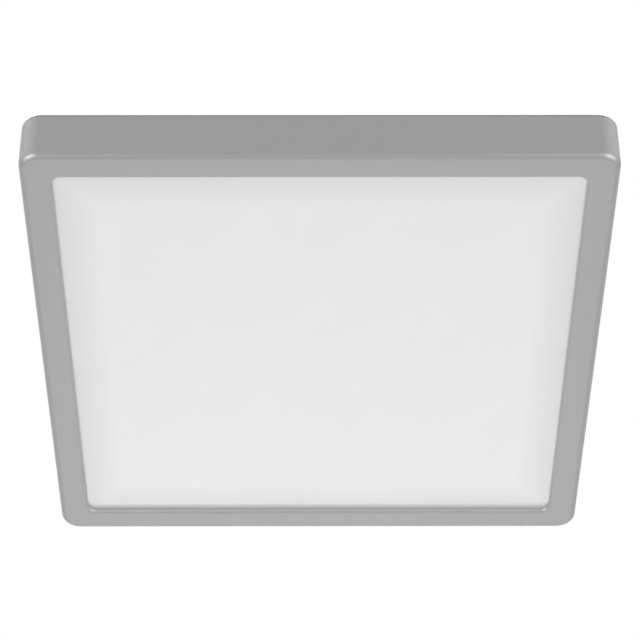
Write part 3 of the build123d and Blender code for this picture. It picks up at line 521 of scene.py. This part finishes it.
boss_places = []
for outwards in (Vector((-1, 0)), Vector((1, 0)), Vector((0, -1)), Vector((0, 1))):
    along_wall = Vector((-outwards.y, outwards.x))
    for spread in (-BOSS_SPREAD, BOSS_SPREAD):
        place = outwards * BOSS_LINE + along_wall * spread
        boss_places.append(place)
        turned_part(frame_bm, BOSS_HALF_SECTION, place)
        inner_corner = place + outwards * WEB_START - along_wall * WEB_HALF
        outer_corner = place + outwards * WEB_END + along_wall * WEB_HALF
        block(frame_bm, (*inner_corner, FOOT), (*outer_corner, WEB_TOP))
bmesh.ops.recalc_face_normals(frame_bm, faces=frame_bm.faces)
print("frame with", len(boss_places), "bosses and webs:", len(frame_bm.faces), "faces")

# %% [markdown]
# ## From mesh to piece
# A finished bmesh becomes an object at the origin that rides on a CAD body and stands for its CAD node. The
# faces are shaded smooth except at sharp edges, and a Weighted Normal modifier keeps large flat faces flat
# beside small round ones. Without it, the lip would look slightly domed.

# %% From mesh to piece
def make_piece(bm, name, finish, node_name, body="lamp", sharp=35):
    """Turn a bmesh into a piece that rides on a body, takes a slot's finish and stands for a CAD node."""
    mesh = bpy.data.meshes.new(name)
    bm.to_mesh(mesh)
    bm.free()
    mesh.shade_smooth()
    mesh.set_sharp_from_angle(angle=math.radians(sharp))
    mesh.materials.append(finish)
    piece = bpy.data.objects.new(name, mesh)
    scene.collection.objects.link(piece)
    piece.modifiers.new("flat faces stay flat", "WEIGHTED_NORMAL").keep_sharp = True
    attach(piece, body)
    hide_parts(node_name)
    print(f"{name}: {len(mesh.polygons)} faces, stands for {node_name}")


make_piece(frame_bm, "silver_frame", silver_paint, "frame")

# %% [markdown]
# ## Opal diffuser
# The diffuser is a flat opal plate, cut from sheet, that lies on the lip from behind. The lip shades it a
# little along the edges through the depth of the recess, and the finish adds painted shade that greys it
# towards the rim. The saw leaves the edges of the sheet slightly rounded.

# %% Opal diffuser
PLATE_HALF = 130.5
PLATE_RADIUS = 6.0
PLATE_BACK = -24.0
PLATE_EDGE = 0.3

bm = bmesh.new()
for loop in draw_out(bm, [(PLATE_HALF, PLATE_RADIUS, z) for z in (PLATE_BACK, LEDGE)]):
    round_edges(bm, loop, PLATE_EDGE)
make_piece(bm, "opal_diffuser", opal_acrylic, "diffuser")

# %% [markdown]
# ## Plastics behind the front
# The parts behind the front are mostly moulded plastic. One function gives them what moulded plastic has in
# common: a faint mottle, an uneven satin gloss and the fine grain that spark erosion leaves in the mould.
# Each plastic only differs in colour, gloss and the size of its grain.

# %% Plastics behind the front
MOULD_BLOTCH = 9.0
MOULD_SHEEN = 4.0


def shades(colour, darker, lighter):
    """A darker and a lighter shade of a colour."""
    return [c * darker for c in colour], [min(1.0, c * lighter) for c in colour]


def moulded(name, colour, roughness, grain_mm=0.5, depth_mm=0.02, spread=0.03):
    """Moulded plastic with a faint mottle and a mould grain."""
    finish = new_finish(name, colour, roughness)
    mottle(finish, MOULD_BLOTCH, *shades(colour, 1 - spread, 1 + spread))
    uneven_gloss(finish, MOULD_SHEEN, roughness - 0.04, roughness + 0.05)
    grain(finish, grain_mm, depth_mm)
    return finish


reflector_plastic = moulded("white polypropylene", (0.85, 0.85, 0.84), 0.42, grain_mm=0.9)
case_plastic = moulded("white driver case", (0.83, 0.83, 0.82), 0.46, grain_mm=0.7, depth_mm=0.04)
plug_nylon = moulded("natural nylon", (0.80, 0.79, 0.75), 0.38)
terminal_plastic = moulded("grey polyamide", (0.60, 0.61, 0.61), 0.45, grain_mm=0.4)
earth_plastic = moulded("green polyamide", (0.10, 0.36, 0.12), 0.45, grain_mm=0.4)
button_plastic = moulded("orange polyamide", (0.80, 0.30, 0.04), 0.40, grain_mm=0.35)
film_epoxy = moulded("red epoxy", (0.55, 0.08, 0.05), 0.22, depth_mm=0.01)
black_epoxy = moulded("black moulding resin", (0.03, 0.03, 0.03), 0.55, grain_mm=0.3, spread=0.25)
grommet_rubber = moulded("black rubber", (0.04, 0.04, 0.04), 0.68, grain_mm=0.8, spread=0.2)
ferrite_grey = moulded("sintered ferrite", (0.09, 0.09, 0.10), 0.72, grain_mm=0.25, depth_mm=0.05,
                       spread=0.3)
print("plastics: reflector, case, plugs, terminals, buttons, epoxy, resin, rubber and ferrite")

# %% [markdown]
# ## Coated and bare metals
# The pan is steel with white powder coat, whose melted powder sets in soft waves known as orange peel. The
# bracket is galvanised strip, and the crystals of its zinc show as flat patches of lighter and darker grey.
# Voronoi cells are the natural pattern for crystals. The clips are hard spring strip with fine streaks along
# its length, and the screws and rivets are bright zinc plate.

# %% Coated and bare metals
SPANGLE = 5.0

powder_coat = new_finish("white powder coat", (0.78, 0.78, 0.77), 0.36)
mottle(powder_coat, 30, (0.77, 0.77, 0.76), (0.79, 0.79, 0.78))
uneven_gloss(powder_coat, 5, 0.32, 0.42)
grain(powder_coat, 1.4, 0.05, strength=0.6)

galvanised_zinc = new_finish("galvanised strip", (0.55, 0.56, 0.57), 0.42, metallic=0.85)
cells = node(galvanised_zinc, "ShaderNodeTexVoronoi", links={"Vector": place_in_lamp(galvanised_zinc)},
             Scale=1 / (SPANGLE * MM))
crystals = (cells, "Color")
colour_ramp(galvanised_zinc, crystals, (0.48, 0.49, 0.50), (0.64, 0.65, 0.66))
gloss_ramp(galvanised_zinc, crystals, 0.34, 0.52)
grain(galvanised_zinc, 0.6, 0.01, strength=0.3)


def bare_metal(name, colour, roughness, streak_mm=1.0, stretch=(1, 1, 1)):
    """Bare metal, whose gloss and colour change along fine streaks."""
    finish = new_finish(name, colour, roughness, metallic=1.0)
    mottle(finish, streak_mm * 4, *shades(colour, 0.92, 1.06), stretch)
    uneven_gloss(finish, streak_mm, roughness - 0.06, roughness + 0.08, stretch)
    grain(finish, streak_mm / 2, 0.005, strength=0.3, stretch=stretch)
    return finish


spring_strip = bare_metal("spring strip", (0.42, 0.43, 0.45), 0.30, stretch=(0.1, 1, 0.1))
zinc_plate = bare_metal("bright zinc plate", (0.62, 0.62, 0.60), 0.30)
clamp_copper = bare_metal("copper alloy", (0.72, 0.50, 0.30), 0.30, stretch=(1, 0.15, 1))
tinned_copper = bare_metal("tinned copper", (0.65, 0.64, 0.60), 0.34)
print("metals: powder coat, galvanised strip, spring strip, zinc plate and copper")

# %% [markdown]
# ## LEDs and circuit boards
# The LED boards are white solder mask over aluminium. Copper tracks run from LED to LED under the mask and
# show as faintly raised bands. Each LED is a white package with a square window of yellow phosphor. The LEDs
# stand on a regular grid, so the distance to the nearest grid point, taken in X and in Y, is enough to paint
# the windows of all of them with one finish.

# %% LEDs and circuit boards
LED_STEP = 117.2 / 6
LED_WINDOW_HALF = 1.0
TRACK_HALF = 1.6
TRACK_HEIGHT = 0.03
PHOSPHOR = (0.86, 0.68, 0.22)
MASK_WHITE = (0.86, 0.86, 0.84)


def from_grid(finish, axis):
    """Distance along X or Y from the nearest row of LEDs, in metres."""
    wrapped = maths(finish, "FLOORED_MODULO", axis_of(finish, axis), LED_STEP * MM)
    return maths(finish, "ABSOLUTE", maths(finish, "SUBTRACT", wrapped, LED_STEP * MM / 2))


def two_colours(finish, mask, colour_0, colour_1):
    """Base colour that changes from one colour to another where a mask goes from 0 to 1."""
    colour_ramp(finish, mask, colour_0, colour_1, positions=(0.0, 0.5), interpolation="CONSTANT")


led_package = new_finish("LED package", PHOSPHOR, 0.25)
farther = maths(led_package, "MAXIMUM", from_grid(led_package, "X"), from_grid(led_package, "Y"))
in_window = maths(led_package, "LESS_THAN", farther, LED_WINDOW_HALF * MM)
two_colours(led_package, in_window, (0.84, 0.83, 0.80), PHOSPHOR)
uneven_gloss(led_package, 0.8, 0.2, 0.32)

solder_mask = new_finish("white solder mask", MASK_WHITE, 0.34)
on_track = maths(solder_mask, "LESS_THAN", from_grid(solder_mask, "Y"), TRACK_HALF * MM)
two_colours(solder_mask, on_track, MASK_WHITE, (0.82, 0.82, 0.79))
raised(solder_mask, on_track, TRACK_HEIGHT, strength=0.4)
uneven_gloss(solder_mask, 3, 0.30, 0.38)

paper_board = new_finish("paper circuit board", (0.42, 0.30, 0.12), 0.40)
mottle(paper_board, 1.5, (0.38, 0.27, 0.10), (0.46, 0.33, 0.14), stretch=(0.2, 1, 1))
uneven_gloss(paper_board, 2, 0.35, 0.48)
grain(paper_board, 0.4, 0.01)
print("boards: LED package, solder mask and paper board")

# %% [markdown]
# ## Parts on the driver's board
# The transformer is wrapped in yellow polyester tape, whose turns end in narrow ridges. The electrolytic
# capacitors wear a dark shrink sleeve with a paler stripe along one side, which marks the negative wire. The
# fuse is a ceramic tube with a metal cap at each end. All three patterns lie along X or Y, so they come
# straight from the Object coordinates.

# %% Parts on the driver's board
FUSE_CAP = 1.6
STRIPE_WIDTH = 2.2
TAPE_TURN = 1.8
TAPE_THICKNESS = 0.06
WAVE_LENGTH = math.pi / 10
CERAMIC = (0.70, 0.66, 0.55)
SLEEVE_BLACK = (0.04, 0.05, 0.07)


def along(finish, axis, low, high):
    """1 between two places along an axis, in metres, and 0 elsewhere."""
    return maths(finish, "COMPARE", axis_of(finish, axis), (low + high) / 2, (high - low) / 2)


fuse_low, fuse_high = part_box("fuse")
fuse_tube = new_finish("ceramic fuse", CERAMIC, 0.35)
on_tube = along(fuse_tube, "X", fuse_low[0] + FUSE_CAP * MM, fuse_high[0] - FUSE_CAP * MM)
two_colours(fuse_tube, on_tube, (0.62, 0.62, 0.60), CERAMIC)
to_shader(fuse_tube, maths(fuse_tube, "SUBTRACT", 1.0, on_tube), "Metallic")
grain(fuse_tube, 0.4, 0.01)

capacitor_low, capacitor_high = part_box("electrolytic_capacitors")
stripe_middle = (capacitor_low[1] + capacitor_high[1]) / 2
stripe_half = STRIPE_WIDTH / 2 * MM
shrink_sleeve = new_finish("shrink sleeve", SLEEVE_BLACK, 0.25)
on_stripe = along(shrink_sleeve, "Y", stripe_middle - stripe_half, stripe_middle + stripe_half)
two_colours(shrink_sleeve, on_stripe, SLEEVE_BLACK, (0.28, 0.29, 0.31))
uneven_gloss(shrink_sleeve, 3, 0.2, 0.34)

winding_tape = new_finish("polyester tape", (0.75, 0.60, 0.10), 0.28)
mottle(winding_tape, 4, (0.72, 0.57, 0.09), (0.78, 0.63, 0.12))
turns = node(winding_tape, "ShaderNodeTexWave", links={"Vector": place_in_lamp(winding_tape)},
             settings={"bands_direction": "X", "wave_profile": "SAW"},
             Scale=WAVE_LENGTH / (TAPE_TURN * MM))
raised(winding_tape, (turns, "Fac"), TAPE_THICKNESS, strength=0.5)
print("driver parts: fuse, sleeve and tape")

# %% [markdown]
# ## Lead insulation
# The leads are stranded copper in PVC. Extruded PVC has a soft gloss and hardly any grain. The earth lead
# has the green and yellow bands that mark it everywhere. They run along the lead, so that finish reads the
# UV map of the tube, whose U goes round the lead.

# %% Lead insulation
EARTH_BANDS = 2


def insulation(name, colour):
    """Extruded PVC in one colour."""
    finish = new_finish(name, colour, 0.38)
    mottle(finish, 3, *shades(colour, 0.94, 1.06))
    uneven_gloss(finish, 1.5, 0.33, 0.45)
    grain(finish, 0.6, 0.01)
    return finish


brown_pvc = insulation("brown PVC", (0.20, 0.09, 0.04))
blue_pvc = insulation("blue PVC", (0.05, 0.15, 0.50))
red_pvc = insulation("red PVC", (0.50, 0.03, 0.03))
black_pvc = insulation("black PVC", (0.03, 0.03, 0.03))

earth_pvc = new_finish("green and yellow PVC", (0.35, 0.50, 0.06), 0.38)
tube_map = node(earth_pvc, "ShaderNodeUVMap", settings={"uv_map": "UVMap"})
round_lead = (node(earth_pvc, "ShaderNodeSeparateXYZ", links={"Vector": (tube_map, "UV")}), "X")
band = maths(earth_pvc, "FRACT", maths(earth_pvc, "MULTIPLY", round_lead, EARTH_BANDS))
two_colours(earth_pvc, band, (0.05, 0.32, 0.07), (0.76, 0.66, 0.06))
uneven_gloss(earth_pvc, 1.5, 0.33, 0.45)
print("leads: brown, blue, green and yellow, red and black")

# %% [markdown]
# ## Reflector ring
# A white ring leans from the diffuser's rim up to the pan and keeps the light in. It is another rounded
# square drawn out from section to section: down the lit side, round the flat foot and up the outside.

# %% Reflector ring
REFLECTOR_TOP = -14.6
REFLECTOR_FOOT = -22.8
REFLECTOR_SECTIONS = [
    (119.7, 5.0, REFLECTOR_TOP),
    (126.7, 5.0, PLATE_BACK),
    (PLATE_HALF, PLATE_RADIUS, PLATE_BACK),
    (PLATE_HALF, PLATE_RADIUS, REFLECTOR_FOOT),
    (127.0, 6.2, REFLECTOR_FOOT),
    (120.9, 6.2, REFLECTOR_TOP),
]
REFLECTOR_EDGE = 0.2

bm = bmesh.new()
reflector_loops = draw_out(bm, REFLECTOR_SECTIONS, ring=True)
for loop in reflector_loops[1:4]:
    round_edges(bm, loop, REFLECTOR_EDGE)
make_piece(bm, "reflector_ring_white", reflector_plastic, "reflector_ring")

# %% [markdown]
# ## Pressed, folded and moulded pieces
# The CAD shapes of the pan, the bracket, the driver's case and the terminal block are already right, but
# their edges are perfectly sharp, and no pressed sheet or moulding has such edges: a sharp edge catches no
# light. A copy of the CAD mesh gets its flat triangles joined into faces, and every sharp edge is then
# beveled by the radius that the piece's making leaves. Sheared sheet has small edges, and mouldings have
# larger ones.

# %% Pressed, folded and moulded pieces
SAME_PLACE = 0.002
FLAT_ANGLE = math.radians(0.5)
SHARP_ANGLE = math.radians(28)


def soften(node_name, piece_name, finish, radius, body="lamp"):
    """A copy of a CAD node with its sharp edges rounded to a radius in mm."""
    bm = bmesh.new()
    bm.from_mesh(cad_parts[node_name].data)
    bmesh.ops.remove_doubles(bm, verts=bm.verts, dist=SAME_PLACE * MM)
    bmesh.ops.dissolve_limit(bm, angle_limit=FLAT_ANGLE, use_dissolve_boundaries=False,
                             verts=bm.verts, edges=bm.edges)
    sharp = [e for e in bm.edges if len(e.link_faces) == 2 and e.calc_face_angle() > SHARP_ANGLE]
    round_edges(bm, sharp, radius)
    make_piece(bm, piece_name, finish, node_name, body=body)


soften("rear_pan", "pressed_pan", powder_coat, radius=0.35)
soften("ceiling_bracket", "folded_bracket", galvanised_zinc, radius=0.15, body="bracket")
soften("driver_base", "driver_tray", case_plastic, radius=0.25)
soften("driver_lid", "driver_cover", case_plastic, radius=0.2)
soften("terminal_base", "terminal_carrier", terminal_plastic, radius=0.3)
soften("earth_lug", "ring_terminal", tinned_copper, radius=0.12)
pole_finishes = {"earth": (earth_plastic, "terminal_green"), "neutral": (terminal_plastic, "terminal_grey"),
                 "live": (terminal_plastic, "terminal_grey")}
for pole, (plastic, slot) in pole_finishes.items():
    soften("terminal_" + pole, pole + "_pole", plastic, radius=0.3)
    soften("release_button_" + pole, pole + "_button", button_plastic, radius=0.15,
           body="button_" + pole)
for hand in ("left", "right"):
    soften("spring_clip_" + hand, hand + "_clip", spring_strip, radius=0.08)

# %% [markdown]
# ## Cross recess
# All screws are pan heads with a cross recess. The flat top of the head starts as a disc. Two pairs of cuts
# in each direction mark the arms of the cross, and the faces inside them are pushed down and drawn in a
# little, as the tapered punch leaves them. Cutting with a boolean would do too, but leaves long thin faces.
# The sizes are fractions of the head's radius and height, so one function serves every screw.

# %% Cross recess
ARM_HALF = 0.11
ARM_REACH = 0.46
RECESS_DEPTH = 0.55
RECESS_TAPER = 0.7
HEAD_SEGMENTS = 24
CUT_TOLERANCE = 0.0001


def added(items, known):
    """The edges or faces that have none of the known vertices."""
    return [item for item in items if not known.intersection(item.verts)]


def recessed_disc(bm, centre, radius, head, height):
    """The top of a head, a disc with a cross sunk in it; gives the edges of its rim."""
    known = set(bm.verts)
    bmesh.ops.create_circle(bm, cap_ends=True, segments=HEAD_SEGMENTS, radius=radius * MM,
                            matrix=Matrix.Translation(centre))
    for direction in (Vector((1, 0, 0)), Vector((0, 1, 0))):
        for reach in (-ARM_REACH, -ARM_HALF, ARM_HALF, ARM_REACH):
            disc = [v for v in bm.verts if v not in known]
            disc += added(bm.edges, known) + added(bm.faces, known)
            bmesh.ops.bisect_plane(bm, geom=disc, dist=CUT_TOLERANCE * MM, plane_no=direction,
                                   plane_co=centre + direction * reach * head * MM)
    rim = [edge for edge in added(bm.edges, known) if len(edge.link_faces) == 1]
    cross = []
    for face in added(bm.faces, known):
        at = (face.calc_center_median() - centre) / (head * MM)
        across_arm, along_arm = sorted((abs(at.x), abs(at.y)))
        if across_arm < ARM_HALF and along_arm < ARM_REACH:
            cross.append(face)
    grown = bmesh.ops.extrude_face_region(bm, geom=cross)["geom"]
    bmesh.ops.delete(bm, geom=cross, context="FACES_ONLY")
    sunk = [item for item in grown if isinstance(item, bmesh.types.BMVert)]
    bmesh.ops.scale(bm, vec=(RECESS_TAPER, RECESS_TAPER, 1), space=Matrix.Translation(-centre), verts=sunk)
    bmesh.ops.translate(bm, vec=(0, 0, -RECESS_DEPTH * height * MM), verts=sunk)
    return rim


# %% [markdown]
# ## Screws
# From the disc, the rim is extruded along the head's rounded profile, under the head, and down the shank
# with its thread. The profile, too, is in fractions of the head's radius and height. Rings stand for the
# turns of the thread: on screws this small, a true helix would look the same and need many more faces. The
# screws of one kind share one mesh, as their CAD node does.

# %% Screws
HEAD_PROFILE = [(0.62, 1.0), (0.80, 0.94), (0.93, 0.74), (1.0, 0.42), (1.0, 0.08), (0.94, 0.0)]
THREAD_PITCH = 1.2
THREAD_ROOT = 0.82
THREAD_END = 0.9
TIP = 0.4


def screw(bm, place, seat_z, size, downwards=False):
    """One pan-head screw; its size is head radius and height, and shank radius and length, in mm."""
    head, height, shank, length = size
    known = set(bm.verts)
    stations = [(r * head, seat_z + z * height) for r, z in HEAD_PROFILE]
    stations.append((shank, seat_z))
    turns = max(2, round(length / THREAD_PITCH))
    pitch = length * THREAD_END / turns
    for turn in range(turns):
        stations.append((shank * THREAD_ROOT, seat_z - pitch * (turn + 0.5)))
        stations.append((shank, seat_z - pitch * (turn + 1)))
    stations.append((shank * TIP, seat_z - length))
    centre = Vector((*place, seat_z + height)) * MM
    loop = recessed_disc(bm, centre, stations[0][0], head, height)
    for (radius, z), (new_radius, new_z) in zip(stations, stations[1:]):
        verts, loop = extrude_loop(bm, loop)
        ratio = new_radius / radius
        bmesh.ops.scale(bm, vec=(ratio, ratio, 1), space=Matrix.Translation(-centre), verts=verts)
        bmesh.ops.translate(bm, vec=(0, 0, (new_z - z) * MM), verts=verts)
    bmesh.ops.edgeloop_fill(bm, edges=loop)
    if downwards:
        made = [v for v in bm.verts if v not in known]
        bmesh.ops.rotate(bm, cent=Vector((*place, seat_z)) * MM, matrix=Matrix.Rotation(math.pi, 3, "X"),
                         verts=made)


def screw_group(name, node_name, places, seat_z, size, downwards=False):
    """All screws of one kind, as one piece."""
    bm = bmesh.new()
    for place in places:
        screw(bm, place, seat_z, size, downwards)
    bmesh.ops.recalc_face_normals(bm, faces=bm.faces)
    make_piece(bm, name, zinc_plate, node_name)


# %% [markdown]
# ## Screws in their places
# Eight screws hold the pan on the frame's bosses, and four hold each LED board under the pan, head down, in
# gaps of the LED grid. The driver and the terminal block have a screw in each ear, and a larger one holds
# the earth lug. Their seats are the surfaces that the heads press on.

# %% Screws in their places
PAN_TOP = -13.8
BOARD_FRONT = -15.6
EAR_TOP = -10.5
LUG_TOP = -11.2
PAN_SCREW = (2.6, 1.9, 1.2, 8.5)
BOARD_SCREW = (2.2, 1.5, 1.2, 3.8)
EAR_SCREW = (2.6, 1.8, 1.3, 3.8)
EARTH_SCREW = (3.5, 2.4, 1.9, 3.1)
DRIVER_EARS = [(-37.5, 47.1), (74.5, 47.1)]
TERMINAL_EARS = [(-95.1, 39.1), (-54.9, 39.1)]
EARTH_PAD = (-104.0, 84.1)

board_steps = (-5, -1, 1, 5)
board_places = [(x * LED_STEP, y * LED_STEP) for x in board_steps for y in board_steps]
screw_group("pan_screws_zinc", "pan_screws", boss_places, PAN_TOP, PAN_SCREW)
screw_group("board_screws_zinc", "board_screws", board_places, BOARD_FRONT, BOARD_SCREW, downwards=True)
screw_group("driver_screws_zinc", "driver_screws", DRIVER_EARS, EAR_TOP, EAR_SCREW)
screw_group("terminal_screws_zinc", "terminal_screws", TERMINAL_EARS, EAR_TOP, EAR_SCREW)
screw_group("earth_screw_zinc", "earth_screw", [EARTH_PAD], LUG_TOP, EARTH_SCREW)

# %% [markdown]
# ## Rivets and grommet
# The clips are held by rivets: a domed head above the clip and a set tail below the sheet. A rubber grommet
# lines the hole where the LED leads pass through the pan. Both are spun from half of their section. A ring
# such as the grommet needs a closed section, so its first point comes again at the end.

# %% Rivets and grommet
RIVET_X = 94.95
RIVET_Y = 6.0
RIVET_HALF_SECTION = [(0, -10.5), (0.9, -10.55), (1.7, -10.7), (2.3, -11.0), (2.6, -11.35), (2.55, -11.5),
                      (1.5, -11.5), (1.5, -12.8), (2.2, -12.8), (2.3, -12.95), (2.2, -13.3), (1.6, -13.5),
                      (0, -13.5)]
GROMMET_PLACE = (5 * LED_STEP, 3 * LED_STEP)
GROMMET_HALF_SECTION = [(2.6, -15.2), (3.0, -15.6), (5.1, -15.6), (5.5, -15.3), (5.5, -14.9), (5.2, -14.6),
                        (4.0, -14.6), (4.0, -13.8), (5.2, -13.8), (5.5, -13.5), (5.5, -13.1), (5.1, -12.8),
                        (3.0, -12.8), (2.6, -13.2), (2.6, -15.2)]

bm = bmesh.new()
for x in (-RIVET_X, RIVET_X):
    for y in (-RIVET_Y, RIVET_Y):
        turned_part(bm, RIVET_HALF_SECTION, (x, y))
bmesh.ops.recalc_face_normals(bm, faces=bm.faces)
make_piece(bm, "clip_rivets_zinc", zinc_plate, "clip_rivets")

bm = bmesh.new()
turned_part(bm, GROMMET_HALF_SECTION, GROMMET_PLACE, segments=48)
bmesh.ops.recalc_face_normals(bm, faces=bm.faces)
make_piece(bm, "rubber_grommet", grommet_rubber, "lead_grommet", sharp=60)

# %% [markdown]
# ## Mains leads
# Three short leads come from the terminal block: live and neutral go to the driver, and earth goes to the
# lug on the pan. They are held at both ends. A NURBS spline with a round bevel is the simplest smooth tube,
# and its UV map runs round and along the lead. The points leave each socket straight and turn in wide bends.

# %% Mains leads
LEAD_Z = -8.4
LUG_Z = -10.0
MAINS_LEAD = 2.2


def lead(name, points, diameter, finish, node_name):
    """A round lead along a smooth spline through these control points, in mm."""
    curve = bpy.data.curves.new(name, "CURVE")
    curve.dimensions = "3D"
    spline = curve.splines.new("NURBS")
    spline.points.add(len(points) - 1)
    for point, place in zip(spline.points, points):
        point.co = (*(Vector(place) * MM), 1)
    spline.order_u = 3
    spline.use_endpoint_u = True
    spline.resolution_u = 10
    curve.bevel_depth = diameter / 2 * MM
    curve.bevel_resolution = 6
    curve.use_fill_caps = True
    holder = bpy.data.objects.new(name + "_path", curve)
    scene.collection.objects.link(holder)
    mesh = bpy.data.meshes.new_from_object(holder)
    bpy.data.objects.remove(holder)
    bm = bmesh.new()
    bm.from_mesh(mesh)
    bpy.data.meshes.remove(mesh)
    make_piece(bm, name, finish, node_name, sharp=60)


live_route = [(-67.8, 46.6, LEAD_Z), (-67.8, 48.0, LEAD_Z), (-67.4, 57.6, LEAD_Z), (-56.0, 56.9, LEAD_Z),
              (-27.0, 57.1, LEAD_Z)]
neutral_route = [(-75.0, 46.6, LEAD_Z), (-75.0, 49.0, LEAD_Z), (-74.6, 62.2, LEAD_Z), (-62.0, 61.4, LEAD_Z),
                 (-27.0, 61.6, LEAD_Z)]
earth_route = [(-82.2, 46.6, LEAD_Z), (-82.2, 57.5, LEAD_Z), (-103.2, 61.5, -9.8), (-104.2, 67.5, LUG_Z),
               (-104.0, 78.1, LUG_Z)]
lead("live_wire", live_route, MAINS_LEAD, brown_pvc, "live_lead")
lead("neutral_wire", neutral_route, MAINS_LEAD, blue_pvc, "neutral_lead")
lead("earth_wire", earth_route, MAINS_LEAD, earth_pvc, "earth_lead")

# %% [markdown]
# ## LED leads
# A thinner red and black pair leaves the other end of the driver, drops through the grommet and turns back
# to the plug on the LED board. Both follow the same route, a millimetre to either side of the grommet's
# middle, so one loop makes them.

# %% LED leads
LED_LEAD = 1.7
OUTLET_X = 64.0
DROP_X = 97.67
PLUG_X = 94.17
PLUG_Z = -17.1

led_pair = {"positive": (-1, red_pvc, "lead_red"), "negative": (1, black_pvc, "lead_black")}
for pole, (offset, finish, slot) in led_pair.items():
    row = GROMMET_PLACE[1] + offset
    route = [(OUTLET_X, row, LEAD_Z), (DROP_X, row, LEAD_Z), (DROP_X, row, PLUG_Z), (PLUG_X, row, PLUG_Z)]
    lead("led_wire_" + pole, route, LED_LEAD, finish, "led_lead_" + pole)

# %% [markdown]
# ## CAD pieces that stay
# The boards, the LEDs and the small parts of the driver already have their real shape in the CAD model. They
# keep it, and only get their finish.

# %% CAD pieces that stay
CAD_FINISHES = {
    "driver_pcb": paper_board,
    "transformer_core": ferrite_grey,
    "transformer_winding": winding_tape,
    "electrolytic_capacitors": shrink_sleeve,
    "film_capacitor": film_epoxy,
    "choke": ferrite_grey,
    "rectifier": black_epoxy,
    "fuse": fuse_tube,
    "driver_input_plug": plug_nylon,
    "driver_output_plug": plug_nylon,
    "led_connector": plug_nylon,
    "board_bridges": plug_nylon,
    "terminal_clamps": clamp_copper,
}
for quarter in ("front_left", "front_right", "rear_left", "rear_right"):
    CAD_FINISHES["led_board_" + quarter] = solder_mask
    CAD_FINISHES["leds_" + quarter] = led_package
for node_name, finish in CAD_FINISHES.items():
    for material_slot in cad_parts[node_name].material_slots:
        material_slot.material = finish
print(len(CAD_FINISHES), "CAD pieces have their finish")
